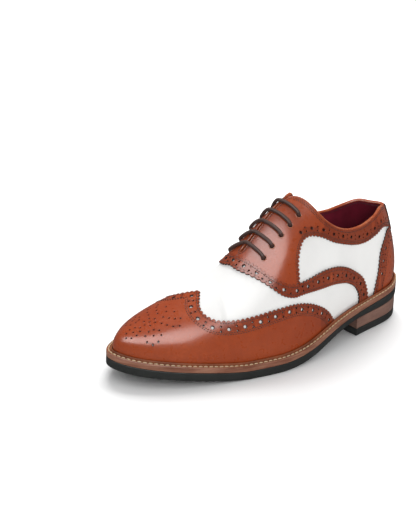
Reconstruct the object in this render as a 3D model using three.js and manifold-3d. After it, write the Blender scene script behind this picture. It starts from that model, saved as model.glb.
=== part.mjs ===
// A left dress shoe: a laced oxford with a winged toe cap, on a stacked heel. It stands on z = 0,
// the toe points to -Y and the outer side of the foot is +X. All lengths are in millimetres.
//
// Every piece of the upper comes from one last surface. A place on it is named by a turn t, which
// runs round the shoe from the heel (0) over the outer side to the toe (1) and back over the inner
// side (2), and by a height v, from the feather edge on the welt (0) to the ridge on top (1).
// A station is the same turn folded onto one side, so the outer and inner sides share their tables.
import * as THREE from 'three';
import { mergeVertices } from 'three/addons/utils/BufferGeometryUtils.js';
import Module from 'manifold-3d';

const wasm = await Module();
wasm.setup();

// Driving sizes
const soleLength = 308;
const soleWidth = 100;
const heelHeight = 20.5;
const heelLength = 75;
const heelInset = 0.6;
const toeSpring = 12.5;
const topPieceThickness = 7;
const outsoleThickness = 7.2;
const weltThickness = 5;
const weltMargin = 7;
const ribWidth = 1.8;
const ribHeight = 2;
const instepHeight = 100;
const upperWall = 1.8;
const overlayThickness = 1.2;
const insoleThickness = 2.5;
const tongueThickness = 1.8;
const laceDiameter = 2.8;
const eyeletDiameter = 4.8;
const slitWidth = 3;
const clearance = 0.3;

// Fineness of the faceted surfaces
const stepsAround = 48;
const stepsUp = 11;
const laceSides = 6;
const eyeletSides = 8;

// Sole outline. Columns: share of the length from the heel, outer and inner edge as shares of the width
const outlineRows = [
  [0.000, -0.010, -0.010],
  [0.020, 0.110, -0.160],
  [0.070, 0.225, -0.265],
  [0.150, 0.300, -0.310],
  [0.250, 0.375, -0.305],
  [0.360, 0.480, -0.260],
  [0.460, 0.565, -0.250],
  [0.560, 0.600, -0.310],
  [0.650, 0.575, -0.410],
  [0.740, 0.525, -0.465],
  [0.830, 0.445, -0.450],
  [0.910, 0.320, -0.365],
  [0.970, 0.170, -0.225],
  [1.000, -0.050, -0.050],
];

// Sole profile. Columns: share of the length, underside as shares of the heel height and of the toe
// spring, outsole as a share of its thickness, welt margin as a share of its width
const profileRows = [
  [0.000, 1.000, 0.000, 1.15, 0.64],
  [0.130, 0.878, 0.000, 1.00, 0.70],
  [0.250, 0.820, 0.000, 0.72, 0.80],
  [0.360, 0.585, 0.000, 0.83, 0.86],
  [0.460, 0.205, 0.000, 0.97, 0.93],
  [0.550, 0.030, 0.000, 1.00, 0.96],
  [0.590, 0.000, 0.000, 1.00, 0.98],
  [0.665, 0.000, 0.000, 1.00, 1.00],
  [0.730, 0.000, 0.140, 1.00, 1.00],
  [0.810, 0.000, 0.400, 1.00, 1.00],
  [0.900, 0.000, 0.660, 1.00, 1.00],
  [1.000, 0.000, 1.000, 1.00, 1.00],
];

// Ridge of the last. Columns: share of the length, sideways place as a share of the sole's width,
// height over the welt as a share of the instep height. Over the collar it closes the last's top
const ridgeRows = [
  [0.110, 0.000, 0.994],
  [0.200, -0.010, 1.097],
  [0.320, -0.030, 1.160],
  [0.410, -0.022, 1.103],
  [0.470, -0.010, 1.043],
  [0.530, 0.006, 0.918],
  [0.600, 0.020, 0.735],
  [0.680, 0.010, 0.557],
  [0.760, 0.000, 0.433],
  [0.830, -0.020, 0.331],
  [0.885, -0.040, 0.255],
];
const ridgeStart = ridgeRows[0][0];
const ridgeEnd = ridgeRows[ridgeRows.length - 1][0];

// Wall between feather edge and ridge, a cubic with two handles. Columns: share of the length,
// lower handle as a share of the height, upper handle as a share of the width, bulge over the welt
// as a share of the welt margin
const wallRows = [
  [0.000, 0.36, 0.02, 0.76],
  [0.040, 0.42, 0.17, 0.66],
  [0.100, 0.58, 0.43, 0.35],
  [0.200, 0.66, 0.62, 0.14],
  [0.300, 0.66, 0.68, 0.00],
  [0.420, 0.58, 0.56, 0.00],
  [0.520, 0.50, 0.72, 0.14],
  [0.650, 0.52, 0.66, 0.29],
  [0.800, 0.56, 0.58, 0.36],
  [0.920, 0.62, 0.62, 0.36],
  [1.000, 0.66, 0.66, 0.29],
];

// Edges of the panels, as places on the last. Columns: station, height
const toplineRows = [
  [0.000, 0.580],
  [0.080, 0.576],
  [0.163, 0.540],
  [0.240, 0.440],
  [0.295, 0.392],
  [0.343, 0.400],
  [0.375, 0.455],
  [0.395, 0.535],
  [0.406, 0.620],
  [0.413, 0.720],
  [0.420, 0.850],
  [0.427, 0.960],
];
const slitEnd = 0.575;
const facingRows = [
  [0.000, 0.410],
  [0.100, 0.402],
  [0.188, 0.375],
  [0.245, 0.312],
  [0.292, 0.284],
  [0.340, 0.304],
  [0.388, 0.380],
  [0.422, 0.490],
  [0.443, 0.550],
  [0.460, 0.572],
  [0.475, 0.552],
  [0.488, 0.490],
  [0.494, 0.412],
  [0.508, 0.420],
  [0.532, 0.505],
  [0.555, 0.652],
  [0.573, 0.870],
  [0.578, 1.000],
];
const counterRows = [
  [0.000, 0.392],
  [0.100, 0.384],
  [0.160, 0.356],
  [0.198, 0.285],
  [0.228, 0.195],
  [0.238, 0.100],
  [0.250, 0.020],
  [0.262, -0.050],
];
const wingRows = [
  [0.388, -0.050],
  [0.400, 0.010],
  [0.417, 0.065],
  [0.448, 0.145],
  [0.478, 0.215],
  [0.515, 0.290],
  [0.557, 0.345],
  [0.598, 0.380],
  [0.640, 0.430],
  [0.680, 0.510],
  [0.703, 0.635],
  [0.710, 0.770],
  [0.704, 0.900],
  [0.697, 1.000],
];

// The vamp band, from the welt over the throat. Columns: station and height of its toe-side edge,
// station and height of its heel-side edge
const bandRows = [
  [0.309, -0.050, 0.275, -0.050],
  [0.311, 0.030, 0.283, 0.035],
  [0.323, 0.075, 0.297, 0.095],
  [0.350, 0.120, 0.333, 0.160],
  [0.383, 0.155, 0.370, 0.215],
  [0.440, 0.220, 0.420, 0.280],
  [0.485, 0.290, 0.476, 0.345],
  [0.512, 0.335, 0.508, 0.405],
  [0.537, 0.415, 0.532, 0.490],
  [0.562, 0.570, 0.555, 0.635],
  [0.590, 0.790, 0.575, 0.860],
  [0.601, 0.900, 0.582, 0.950],
  [0.605, 1.000, 0.584, 1.000],
];

// Eyelets on the outer side, from the vamp up. Columns: station, height
const eyeletRows = [
  [0.549, 0.768],
  [0.526, 0.779],
  [0.502, 0.769],
  [0.477, 0.753],
  [0.450, 0.749],
];
// The inner eyelets sit this much nearer the toe, in stations
const innerEyeletShift = 0.012;

// The tongue. Columns: station, depth of its outer face under the upper's lining as a share of the
// room that the lace needs there
const tongueRows = [
  [0.428, 1.00],
  [0.460, 1.00],
  [0.500, 1.00],
  [0.545, 1.00],
  [0.575, 0.80],
  [0.605, 0.25],
  [0.630, 0.00],
  [0.655, 0.00],
];
const tongueSide = 0.64;

// Curves through tables

function solveLinear(matrix, right) {
  const size = right.length;
  for (let column = 0; column < size; column += 1) {
    let pivot = column;
    for (let row = column + 1; row < size; row += 1) {
      if (Math.abs(matrix[row][column]) > Math.abs(matrix[pivot][column])) pivot = row;
    }
    [matrix[column], matrix[pivot]] = [matrix[pivot], matrix[column]];
    [right[column], right[pivot]] = [right[pivot], right[column]];
    for (let row = column + 1; row < size; row += 1) {
      const factor = matrix[row][column] / matrix[column][column];
      for (let k = column; k < size; k += 1) matrix[row][k] -= factor * matrix[column][k];
      right[row] -= factor * right[column];
    }
  }
  for (let row = size - 1; row >= 0; row -= 1) {
    for (let k = row + 1; k < size; k += 1) right[row] -= matrix[row][k] * right[k];
    right[row] /= matrix[row][row];
  }
  return right;
}

// A smooth cubic through the points, with free ends or closed into a loop
function smoothCurve(places, values, closed) {
  const last = places.length - 1;
  const gaps = places.slice(1).map((place, i) => place - places[i]);
  const slopes = gaps.map((gap, i) => (values[i + 1] - values[i]) / gap);
  const matrix = places.map(() => new Array(last + 1).fill(0));
  const right = new Array(last + 1).fill(0);
  for (let i = 1; i < last; i += 1) {
    matrix[i][i - 1] = gaps[i - 1];
    matrix[i][i] = 2 * (gaps[i - 1] + gaps[i]);
    matrix[i][i + 1] = gaps[i];
    right[i] = 6 * (slopes[i] - slopes[i - 1]);
  }
  matrix[0][0] = 1;
  matrix[last][last] = 1;
  if (closed) {
    matrix[0][0] = 2 * (gaps[0] + gaps[last - 1]);
    matrix[0][1] = gaps[0];
    matrix[0][last - 1] = gaps[last - 1];
    right[0] = 6 * (slopes[0] - slopes[last - 1]);
    matrix[last][0] = -1;
  }
  const bends = solveLinear(matrix, right);
  const span = places[last] - places[0];
  return (asked) => {
    let place = asked;
    if (closed) place = asked - Math.floor((asked - places[0]) / span) * span;
    let i = 0;
    while (i < last - 1 && place > places[i + 1]) i += 1;
    const before = place - places[i];
    const after = places[i + 1] - place;
    const gap = gaps[i];
    return (bends[i] * after ** 3 + bends[i + 1] * before ** 3) / (6 * gap)
      + (values[i] / gap - (bends[i] * gap) / 6) * after
      + (values[i + 1] / gap - (bends[i + 1] * gap) / 6) * before;
  };
}

function straightCurve(rows, asked, from = 0, to = 1) {
  let i = 0;
  while (i < rows.length - 2 && asked > rows[i + 1][from]) i += 1;
  const share = (asked - rows[i][from]) / (rows[i + 1][from] - rows[i][from]);
  return THREE.MathUtils.lerp(rows[i][to], rows[i + 1][to], THREE.MathUtils.clamp(share, 0, 1));
}

const turnOfShare = (share) => Math.acos(1 - 2 * THREE.MathUtils.clamp(share, 0, 1)) / Math.PI;
const shareOfTurn = (turn) => (1 - Math.cos(Math.PI * turn)) / 2;
const columnOf = (rows, column) => rows.map((row) => row[column]);

// The sole's shape

const turnsOut = columnOf(outlineRows, 0).map(turnOfShare);
const outlineCurve = smoothCurve(
  [...turnsOut, ...turnsOut.slice(0, -1).reverse().map((turn) => 2 - turn)],
  [...columnOf(outlineRows, 1), ...columnOf(outlineRows, 2).slice(0, -1).reverse()],
  true,
);
const heelRise = smoothCurve(columnOf(profileRows, 0), columnOf(profileRows, 1), false);
const springRise = smoothCurve(columnOf(profileRows, 0), columnOf(profileRows, 2), false);
const outsoleShare = smoothCurve(columnOf(profileRows, 0), columnOf(profileRows, 3), false);

const shareAt = (y) => THREE.MathUtils.clamp(0.5 - y / soleLength, 0, 1);
const undersideAt = (y) => {
  const share = shareAt(y);
  const rise = heelHeight * heelRise(share) + toeSpring * springRise(share);
  return Math.max(0, rise - clearance);
};
const outsoleTopAt = (y) => undersideAt(y) + outsoleThickness * outsoleShare(shareAt(y));
const weltTopAt = (y) => outsoleTopAt(y) + clearance + weltThickness;
const marginAt = (share) => weltMargin * straightCurve(profileRows, share, 0, 4);

function outlinePoint(turn) {
  return new THREE.Vector2(soleWidth * outlineCurve(turn), soleLength * (0.5 - shareOfTurn(turn)));
}

function outlineOutward(turn) {
  const reach = 1e-4;
  const along = outlinePoint(turn + reach).sub(outlinePoint(turn - reach)).normalize();
  return new THREE.Vector2(-along.y, along.x);
}

function insetPoint(turn, inset) {
  return outlinePoint(turn).addScaledVector(outlineOutward(turn), -inset);
}

// The last's surface

const ridgeSide = smoothCurve(columnOf(ridgeRows, 0), columnOf(ridgeRows, 1), false);
const ridgeRise = smoothCurve(columnOf(ridgeRows, 0), columnOf(ridgeRows, 2), false);
const wallTurns = columnOf(wallRows, 0).map(turnOfShare);
const [lowHandle, highHandle, bulge] = [1, 2, 3].map(
  (column) => smoothCurve(wallTurns, columnOf(wallRows, column), false),
);
const skirtDepth = 60;
const up = new THREE.Vector3(0, 0, 1);

function ridgePoint(share) {
  const y = soleLength * (0.5 - share);
  return new THREE.Vector3(soleWidth * ridgeSide(share), y, weltTopAt(y) + instepHeight * ridgeRise(share));
}

function ridgeSlope(share) {
  const reach = 1e-3;
  const low = ridgePoint(Math.min(share + reach, ridgeEnd));
  const high = ridgePoint(Math.max(share - reach, ridgeStart));
  return (high.z - low.z) / (high.y - low.y);
}

const folded = (turn) => {
  const around = turn - 2 * Math.floor(turn / 2);
  return around <= 1 ? around : 2 - around;
};

function lastPoint(turn, height) {
  const station = folded(turn);
  const share = shareOfTurn(station);
  const margin = marginAt(share);
  const foot = insetPoint(turn, margin);
  const outward = outlineOutward(turn);
  const feather = new THREE.Vector3(foot.x, foot.y, weltTopAt(foot.y) + clearance);
  if (height < 0) return feather.addScaledVector(up, height * skirtDepth);
  const ridgeShare = THREE.MathUtils.lerp(ridgeStart, ridgeEnd, share);
  const ridge = ridgePoint(ridgeShare);
  const low = feather.clone()
    .addScaledVector(up, lowHandle(station) * (ridge.z - feather.z))
    .add(new THREE.Vector3(outward.x, outward.y, 0).multiplyScalar(bulge(station) * weltMargin));
  const across = feather.clone().sub(ridge);
  across.z = across.y * ridgeSlope(ridgeShare);
  const high = ridge.clone().addScaledVector(across, highHandle(station));
  const rest = 1 - height;
  return feather.multiplyScalar(rest ** 3)
    .addScaledVector(low, 3 * rest * rest * height)
    .addScaledVector(high, 3 * rest * height * height)
    .addScaledVector(ridge, height ** 3);
}

function lastNormal(turn, height) {
  if (height <= 0) {
    const outward = outlineOutward(turn);
    return new THREE.Vector3(outward.x, outward.y, 0);
  }
  if (height > 1 - 1e-6) {
    const share = THREE.MathUtils.lerp(ridgeStart, ridgeEnd, shareOfTurn(folded(turn)));
    return new THREE.Vector3(0, -ridgeSlope(share), 1).normalize();
  }
  const reach = 1e-3;
  const along = lastPoint(turn + reach, height).sub(lastPoint(turn - reach, height));
  const upward = lastPoint(turn, Math.min(height + reach, 1));
  upward.sub(lastPoint(turn, height - Math.min(reach, height)));
  return upward.cross(along).normalize();
}

function onLast(turn, height, offset) {
  return lastPoint(turn, height).addScaledVector(lastNormal(turn, height), offset);
}

// A place over the ridge: heights from 1 to 2 run down the other side
function overRidge(station, height, offset) {
  if (height <= 1) return onLast(station, height, offset);
  return onLast(2 - station, 2 - height, offset);
}

// Solids from grids of points

function addQuad(soup, a, b, c, d) {
  soup.push(a, b, c, a, c, d);
}

function soupGeometry(soup) {
  const geometry = new THREE.BufferGeometry();
  geometry.setAttribute('position', new THREE.Float32BufferAttribute(soup.flatMap((p) => [p.x, p.y, p.z]), 3));
  return geometry;
}

function solidOf(geometry) {
  const bare = geometry.clone();
  bare.deleteAttribute('normal');
  bare.deleteAttribute('uv');
  const merged = mergeVertices(bare, 1e-3);
  const positions = new Float32Array(merged.getAttribute('position').array);
  const index = merged.getIndex().array;
  const triangles = [];
  for (let i = 0; i < index.length; i += 3) {
    const corners = [index[i], index[i + 1], index[i + 2]];
    if (new Set(corners).size === 3) triangles.push(corners);
  }
  const build = (faces) => new wasm.Manifold(new wasm.Mesh({
    numProp: 3,
    vertProperties: positions,
    triVerts: new Uint32Array(faces.flat()),
  }));
  const solid = build(triangles);
  if (solid.volume() > 0) return solid;
  return build(triangles.map(([a, b, c]) => [a, c, b]));
}

// A slab between two grids of points, its upper face looking outward. A folded slab's last row
// lies on the ridge, where its two halves meet, so it has no wall there
function slab(lower, upper, foldedTop = false) {
  const soup = [];
  const rows = lower.length - 1;
  const columns = lower[0].length - 1;
  for (let i = 0; i < rows; i += 1) {
    for (let j = 0; j < columns; j += 1) {
      addQuad(soup, upper[i][j], upper[i][j + 1], upper[i + 1][j + 1], upper[i + 1][j]);
      addQuad(soup, lower[i][j], lower[i + 1][j], lower[i + 1][j + 1], lower[i][j + 1]);
    }
    addQuad(soup, lower[i][0], upper[i][0], upper[i + 1][0], lower[i + 1][0]);
    addQuad(soup, lower[i + 1][columns], upper[i + 1][columns], upper[i][columns], lower[i][columns]);
  }
  for (let j = 0; j < columns; j += 1) {
    addQuad(soup, lower[0][j + 1], upper[0][j + 1], upper[0][j], lower[0][j]);
    if (!foldedTop) addQuad(soup, lower[rows][j], upper[rows][j], upper[rows][j + 1], lower[rows][j + 1]);
  }
  return solidOf(soupGeometry(soup));
}

const slabOfPlaces = (grid, place, low, high, foldedTop) => slab(
  grid.map((row) => row.map((at) => place(...at, low))),
  grid.map((row) => row.map((at) => place(...at, high))),
  foldedTop,
);

const steps = (count, from = 0, to = 1) => Array.from(
  { length: count + 1 },
  (_, i) => from + ((to - from) * i) / count,
);

// The whole last at an offset from its surface, closed underneath at a depth below the feather edge
function lastForm(offset, depth) {
  const soup = [];
  const turns = steps(stepsAround, 0, 2).slice(0, -1);
  const rings = steps(stepsUp).map((height) => turns.map((turn) => onLast(turn, height, offset)));
  const base = rings[0].map((point) => point.clone().addScaledVector(up, -depth));
  if (depth > 0) rings.unshift(base);
  for (let i = 0; i < stepsAround; i += 1) {
    const next = (i + 1) % stepsAround;
    for (let j = 0; j < rings.length - 1; j += 1) {
      addQuad(soup, rings[j][i], rings[j + 1][i], rings[j + 1][next], rings[j][next]);
    }
  }
  for (let i = 0; i < stepsAround / 2; i += 1) {
    const mirror = (stepsAround - i) % stepsAround;
    addQuad(soup, base[i], base[i + 1], base[stepsAround - i - 1], base[mirror]);
  }
  return solidOf(soupGeometry(soup));
}

// A plate between two heights that depend on y. Its outline is a list of pairs of outer and inner
// points, from the heel to the toe or to a straight front edge
function plate(pairs, lowAt, highAt) {
  const soup = [];
  const lift = (point, at) => new THREE.Vector3(point.x, point.y, at(point.y));
  for (let i = 0; i < pairs.length - 1; i += 1) {
    const [outer, inner] = pairs[i];
    const [nextOuter, nextInner] = pairs[i + 1];
    addQuad(soup, lift(inner, highAt), lift(nextInner, highAt), lift(nextOuter, highAt), lift(outer, highAt));
    addQuad(soup, lift(outer, lowAt), lift(nextOuter, lowAt), lift(nextInner, lowAt), lift(inner, lowAt));
    addQuad(soup, lift(outer, lowAt), lift(outer, highAt), lift(nextOuter, highAt), lift(nextOuter, lowAt));
    addQuad(soup, lift(nextInner, lowAt), lift(nextInner, highAt), lift(inner, highAt), lift(inner, lowAt));
  }
  const [outer, inner] = pairs[pairs.length - 1];
  addQuad(soup, lift(outer, lowAt), lift(outer, highAt), lift(inner, highAt), lift(inner, lowAt));
  return solidOf(soupGeometry(soup));
}

const solePairs = (inset, stations) => stations.map((station) => {
  const gap = typeof inset === 'function' ? inset(shareOfTurn(station)) : inset;
  return [insetPoint(station, gap), insetPoint(2 - station, gap)];
});
const allStations = steps(stepsAround / 2);

// Sole unit

function outsole() {
  return plate(solePairs(0, allStations), undersideAt, outsoleTopAt);
}

// The welt is a full plate with a raised rib, which stands round the foot of the upper
function welt() {
  const bottomAt = (y) => outsoleTopAt(y) + clearance;
  const ribTopAt = (y) => weltTopAt(y) + ribHeight;
  const ribGap = overlayThickness + 3 * clearance;
  const ribInside = (share) => marginAt(share) - ribGap;
  const ribOutside = (share) => marginAt(share) - ribGap - ribWidth;
  const body = plate(solePairs(0, allStations), bottomAt, weltTopAt);
  const rib = plate(solePairs(ribOutside, allStations), (y) => weltTopAt(y) - weltThickness / 2, ribTopAt)
    .subtract(plate(solePairs(ribInside, allStations), bottomAt, (y) => ribTopAt(y) + ribHeight));
  return body.add(rib);
}

const heelFront = turnOfShare(heelLength / soleLength);
const heelPairs = solePairs(heelInset, steps(12, 0, heelFront));

function heelBlock() {
  return plate(heelPairs, () => topPieceThickness, (y) => undersideAt(y) - clearance);
}

function topPiece() {
  return plate(heelPairs, () => 0, () => topPieceThickness - clearance);
}

function insole() {
  const inset = (share) => marginAt(share) + upperWall + 2 * clearance;
  return plate(
    solePairs(inset, allStations),
    (y) => weltTopAt(y) + clearance,
    (y) => weltTopAt(y) + clearance + insoleThickness,
  );
}

// Upper and overlays

const cutDepth = 8;
const cutHeight = 6;
const slitHalf = (station) => {
  const reach = 1e-3;
  const stretch = lastPoint(station, 1).distanceTo(lastPoint(station, 1 - reach)) / reach;
  return slitWidth / 2 / stretch;
};

// What is open over the topline and along the throat
function opening() {
  const throat = steps(6, toplineRows[toplineRows.length - 1][0] + 0.004, slitEnd);
  const side = [...columnOf(toplineRows, 0), ...throat];
  const edge = (station) => {
    if (station > toplineRows[toplineRows.length - 1][0]) return 1 - slitHalf(station);
    return straightCurve(toplineRows, station);
  };
  const turns = [...side.slice(1).reverse().map((station) => -station), ...side];
  const grid = steps(6).map((share) => turns.map((turn) => {
    const low = edge(Math.abs(turn));
    return [turn, THREE.MathUtils.lerp(low, 1, share)];
  }));
  return slabOfPlaces(grid, onLast, -cutDepth, cutHeight, true);
}

function eyelet(station, height, inner) {
  const turn = inner ? 2 - station : station;
  const length = cutDepth + cutHeight;
  const pin = new THREE.CylinderGeometry(eyeletDiameter / 2, eyeletDiameter / 2, length, eyeletSides);
  const normal = lastNormal(turn, height);
  pin.applyQuaternion(new THREE.Quaternion().setFromUnitVectors(new THREE.Vector3(0, 1, 0), normal));
  const centre = lastPoint(turn, height);
  pin.translate(centre.x, centre.y, centre.z);
  return solidOf(pin);
}

const throatOpening = opening();
const outerForm = lastForm(clearance + overlayThickness, 0);
const innerForm = lastForm(clearance, skirtDepth / 10);
const overlaySkin = outerForm.subtract(innerForm);
const eyeletsOn = (inner) => eyeletRows.map(([station, height]) => (
  eyelet(inner ? station + innerEyeletShift : station, height, inner)
));

// The last's closed top over the collar is only there to be cut off, so crumbs of it are left out
function cutAll(solid, cutters) {
  const bodies = cutters.reduce((rest, cutter) => rest.subtract(cutter), solid).decompose();
  return bodies.sort((a, b) => b.volume() - a.volume())[0];
}

function upper() {
  const shell = lastForm(0, 0).subtract(lastForm(-upperWall, skirtDepth / 10));
  return cutAll(shell, [throatOpening, ...eyeletsOn(false), ...eyeletsOn(true)]);
}

function wingCap() {
  const grid = wingRows.map(([station, height]) => steps(16, station, 2 - station).map((turn) => [turn, height]));
  return overlaySkin.intersect(slabOfPlaces(grid, onLast, -2, cutHeight, true));
}

function vampBand() {
  const outerRows = bandRows.map(([s1, v1, s2, v2]) => [[s1, v1], [s2, v2]]);
  const innerRows = bandRows.slice(0, -1).reverse().map(([s1, v1, s2, v2]) => [[s1, 2 - v1], [s2, 2 - v2]]);
  const across = [...outerRows, ...innerRows].map(([toeSide, heelSide]) => steps(2).map((share) => [
    THREE.MathUtils.lerp(heelSide[0], toeSide[0], share),
    THREE.MathUtils.lerp(heelSide[1], toeSide[1], share),
  ]));
  return overlaySkin.intersect(slabOfPlaces(across, overRidge, -2, cutHeight, false));
}

function facing(inner) {
  const stations = columnOf(facingRows, 0);
  stations[0] = 0.003;
  const grid = steps(8).map((share) => stations.map((station) => [
    inner ? 2 - station : station,
    THREE.MathUtils.lerp(straightCurve(facingRows, station), 1, share),
  ]));
  if (inner) grid.forEach((row) => row.reverse());
  const panel = overlaySkin.intersect(slabOfPlaces(grid, onLast, -2, cutHeight, false));
  return cutAll(panel, [throatOpening, ...eyeletsOn(inner)]);
}

function heelCounter() {
  const side = columnOf(counterRows, 0);
  const turns = [...side.slice(1).reverse().map((station) => -station), ...side];
  const grid = steps(8).map((share) => turns.map((turn) => [
    turn,
    THREE.MathUtils.lerp(-0.06, straightCurve(counterRows, Math.abs(turn)), share),
  ]));
  return overlaySkin.intersect(slabOfPlaces(grid, onLast, -2, cutHeight, false));
}

// Tongue and lace, which share the room under the facings

const laceRoom = laceDiameter + 2 * clearance;
const hiddenDepth = -(upperWall + clearance + laceDiameter / 2);

function tongue() {
  const rows = steps(12, tongueSide, 2 - tongueSide);
  const faces = [tongueThickness, 0].map((thickness) => rows.map((height) => tongueRows.map(([station, depth]) => {
    const offset = -(upperWall + clearance + depth * laceRoom + thickness);
    return overRidge(station, height, offset);
  })));
  return slab(faces[0], faces[1]);
}

// A straight bar crosses at each pair of eyelets, and the lace climbs under the facings between them
function laceRoute() {
  const barHeight = clearance + overlayThickness + clearance + laceDiameter / 2;
  const bend = 0.03;
  const place = ([station, height], inner, inward, offset) => {
    const turn = inner ? 2 - station - innerEyeletShift : station;
    return onLast(turn, height + inward, offset);
  };
  const route = [];
  eyeletRows.forEach((row, index) => {
    const fromInner = index % 2 === 1;
    const dive = (inner) => [
      place(row, inner, 0, hiddenDepth),
      place(row, inner, 0, 0),
      place(row, inner, 0, overlayThickness),
      place(row, inner, bend / 3, barHeight - clearance),
      place(row, inner, bend, barHeight),
    ];
    const [station, height] = row;
    const low = height + bend;
    const bar = steps(6, low, 2 - low).slice(1, -1).map((over) => {
      const crossed = (over - low) / (2 - 2 * low);
      return overRidge(station + crossed * innerEyeletShift, over, barHeight);
    });
    if (fromInner) bar.reverse();
    route.push(...dive(fromInner), ...bar, ...dive(!fromInner).reverse());
    if (index < eyeletRows.length - 1) {
      const next = eyeletRows[index + 1];
      route.push(...[0.3, 0.7].map((share) => place([
        THREE.MathUtils.lerp(station, next[0], share),
        THREE.MathUtils.lerp(height, next[1], share),
      ], !fromInner, 0, hiddenDepth - 0.28)));
    }
  });
  return route;
}

function sweep(route, radius, sides) {
  const soup = [];
  let side = new THREE.Vector3(0, 1, 0);
  const rings = route.map((point, i) => {
    const before = route[Math.max(i - 1, 0)];
    const after = route[Math.min(i + 1, route.length - 1)];
    const along = after.clone().sub(before).normalize();
    side = side.clone().addScaledVector(along, -side.dot(along)).normalize();
    const other = along.clone().cross(side);
    return steps(sides, 0, 2 * Math.PI).slice(0, -1).map((angle) => point.clone()
      .addScaledVector(side, radius * Math.cos(angle))
      .addScaledVector(other, radius * Math.sin(angle)));
  });
  const first = rings[0];
  const final = rings[rings.length - 1];
  for (let j = 0; j < sides; j += 1) {
    const next = (j + 1) % sides;
    for (let i = 0; i < rings.length - 1; i += 1) {
      addQuad(soup, rings[i][j], rings[i][next], rings[i + 1][next], rings[i + 1][j]);
    }
    soup.push(route[0], first[next], first[j]);
    soup.push(route[route.length - 1], final[j], final[next]);
  }
  return solidOf(soupGeometry(soup));
}

function lace() {
  return sweep(laceRoute(), laceDiameter / 2, laceSides);
}

// The shoe

const finishes = {
  brownLeather: { color: 0xa9471f, roughness: 0.3, metalness: 0 },
  whiteLeather: { color: 0xf2f1ee, roughness: 0.4, metalness: 0 },
  darkLeather: { color: 0x4a1a1c, roughness: 0.6, metalness: 0 },
  weltLeather: { color: 0x8d5638, roughness: 0.5, metalness: 0 },
  heelLeather: { color: 0x805f52, roughness: 0.5, metalness: 0 },
  rubber: { color: 0x2b2d2c, roughness: 0.7, metalness: 0 },
  cotton: { color: 0x47302c, roughness: 0.6, metalness: 0 },
};

function meshOf(name, solid, finish) {
  const { vertProperties, triVerts } = solid.getMesh();
  const geometry = new THREE.BufferGeometry();
  geometry.setAttribute('position', new THREE.BufferAttribute(new Float32Array(vertProperties), 3));
  geometry.setIndex(new THREE.BufferAttribute(new Uint32Array(triVerts), 1));
  const mesh = new THREE.Mesh(geometry, new THREE.MeshStandardMaterial(finishes[finish]));
  mesh.name = name;
  return mesh;
}

const shoe = new THREE.Group();
shoe.add(
  meshOf('outsole', outsole(), 'rubber'),
  meshOf('welt', welt(), 'weltLeather'),
  meshOf('heel_block', heelBlock(), 'heelLeather'),
  meshOf('top_piece', topPiece(), 'rubber'),
  meshOf('insole', insole(), 'darkLeather'),
  meshOf('upper', upper(), 'whiteLeather'),
  meshOf('tongue', tongue(), 'darkLeather'),
  meshOf('wing_cap', wingCap(), 'brownLeather'),
  meshOf('vamp_band', vampBand(), 'brownLeather'),
  meshOf('facing_outer', facing(false), 'brownLeather'),
  meshOf('facing_inner', facing(true), 'brownLeather'),
  meshOf('heel_counter', heelCounter(), 'brownLeather'),
  meshOf('lace', lace(), 'cotton'),
);

// The sole's outline is centred on the origin
const sides = allStations.flatMap((station) => [outlinePoint(station).x, outlinePoint(2 - station).x]);
shoe.position.x = -(Math.max(...sides) + Math.min(...sides)) / 2;

export default shoe;
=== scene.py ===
from math import cos, pi, radians, sin

import bpy
import numpy as np
from mathutils import Matrix, Vector
from mathutils.geometry import delaunay_2d_cdt


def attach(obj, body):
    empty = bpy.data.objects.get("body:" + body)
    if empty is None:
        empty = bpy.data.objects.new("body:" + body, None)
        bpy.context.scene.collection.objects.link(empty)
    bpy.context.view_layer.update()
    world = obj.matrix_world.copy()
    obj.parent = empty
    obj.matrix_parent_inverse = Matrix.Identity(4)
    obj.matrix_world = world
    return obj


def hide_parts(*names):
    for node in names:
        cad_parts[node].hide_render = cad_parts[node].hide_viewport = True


bl_info = {
    "name": "Two-tone wingtip shoe",
    "version": (1, 0, 0),
    "blender": (4, 5, 0),
    "location": "3D View > Sidebar > Shoe",
    "description": "Dresses the solids of a left wingtip oxford in leather, thread, lace and rubber",
    "category": "Object",
}

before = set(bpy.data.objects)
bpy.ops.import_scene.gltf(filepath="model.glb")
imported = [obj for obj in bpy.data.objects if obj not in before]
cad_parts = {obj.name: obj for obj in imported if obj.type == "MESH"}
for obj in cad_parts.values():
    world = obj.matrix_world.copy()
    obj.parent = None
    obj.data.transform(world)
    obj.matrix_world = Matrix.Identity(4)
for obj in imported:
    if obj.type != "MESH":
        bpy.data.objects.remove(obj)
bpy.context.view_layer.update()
mm = 0.001

# Sizes of the shoe, as the solids have them
SOLE_LENGTH = 308 * mm
SOLE_WIDTH = 100 * mm
HEEL_HEIGHT = 20.5 * mm
HEEL_LENGTH = 75 * mm
HEEL_INSET = 0.6 * mm
TOE_SPRING = 12.5 * mm
TOP_PIECE_THICKNESS = 7 * mm
OUTSOLE_THICKNESS = 7.2 * mm
WELT_THICKNESS = 5 * mm
WELT_MARGIN = 7 * mm
INSTEP_HEIGHT = 100 * mm
UPPER_WALL = 1.8 * mm
INSOLE_THICKNESS = 2.5 * mm
TONGUE_THICKNESS = 1.8 * mm
LACE_DIAMETER = 2.8 * mm
SLIT_WIDTH = 3 * mm
CLEARANCE = 0.3 * mm

# Sole outline. Columns: share of the length from the heel, outer and inner edge as shares of the width
OUTLINE_ROWS = [
    (0.000, -0.010, -0.010),
    (0.020, 0.110, -0.160),
    (0.070, 0.225, -0.265),
    (0.150, 0.300, -0.310),
    (0.250, 0.375, -0.305),
    (0.360, 0.480, -0.260),
    (0.460, 0.565, -0.250),
    (0.560, 0.600, -0.310),
    (0.650, 0.575, -0.410),
    (0.740, 0.525, -0.465),
    (0.830, 0.445, -0.450),
    (0.910, 0.320, -0.365),
    (0.970, 0.170, -0.225),
    (1.000, -0.050, -0.050),
]

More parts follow.
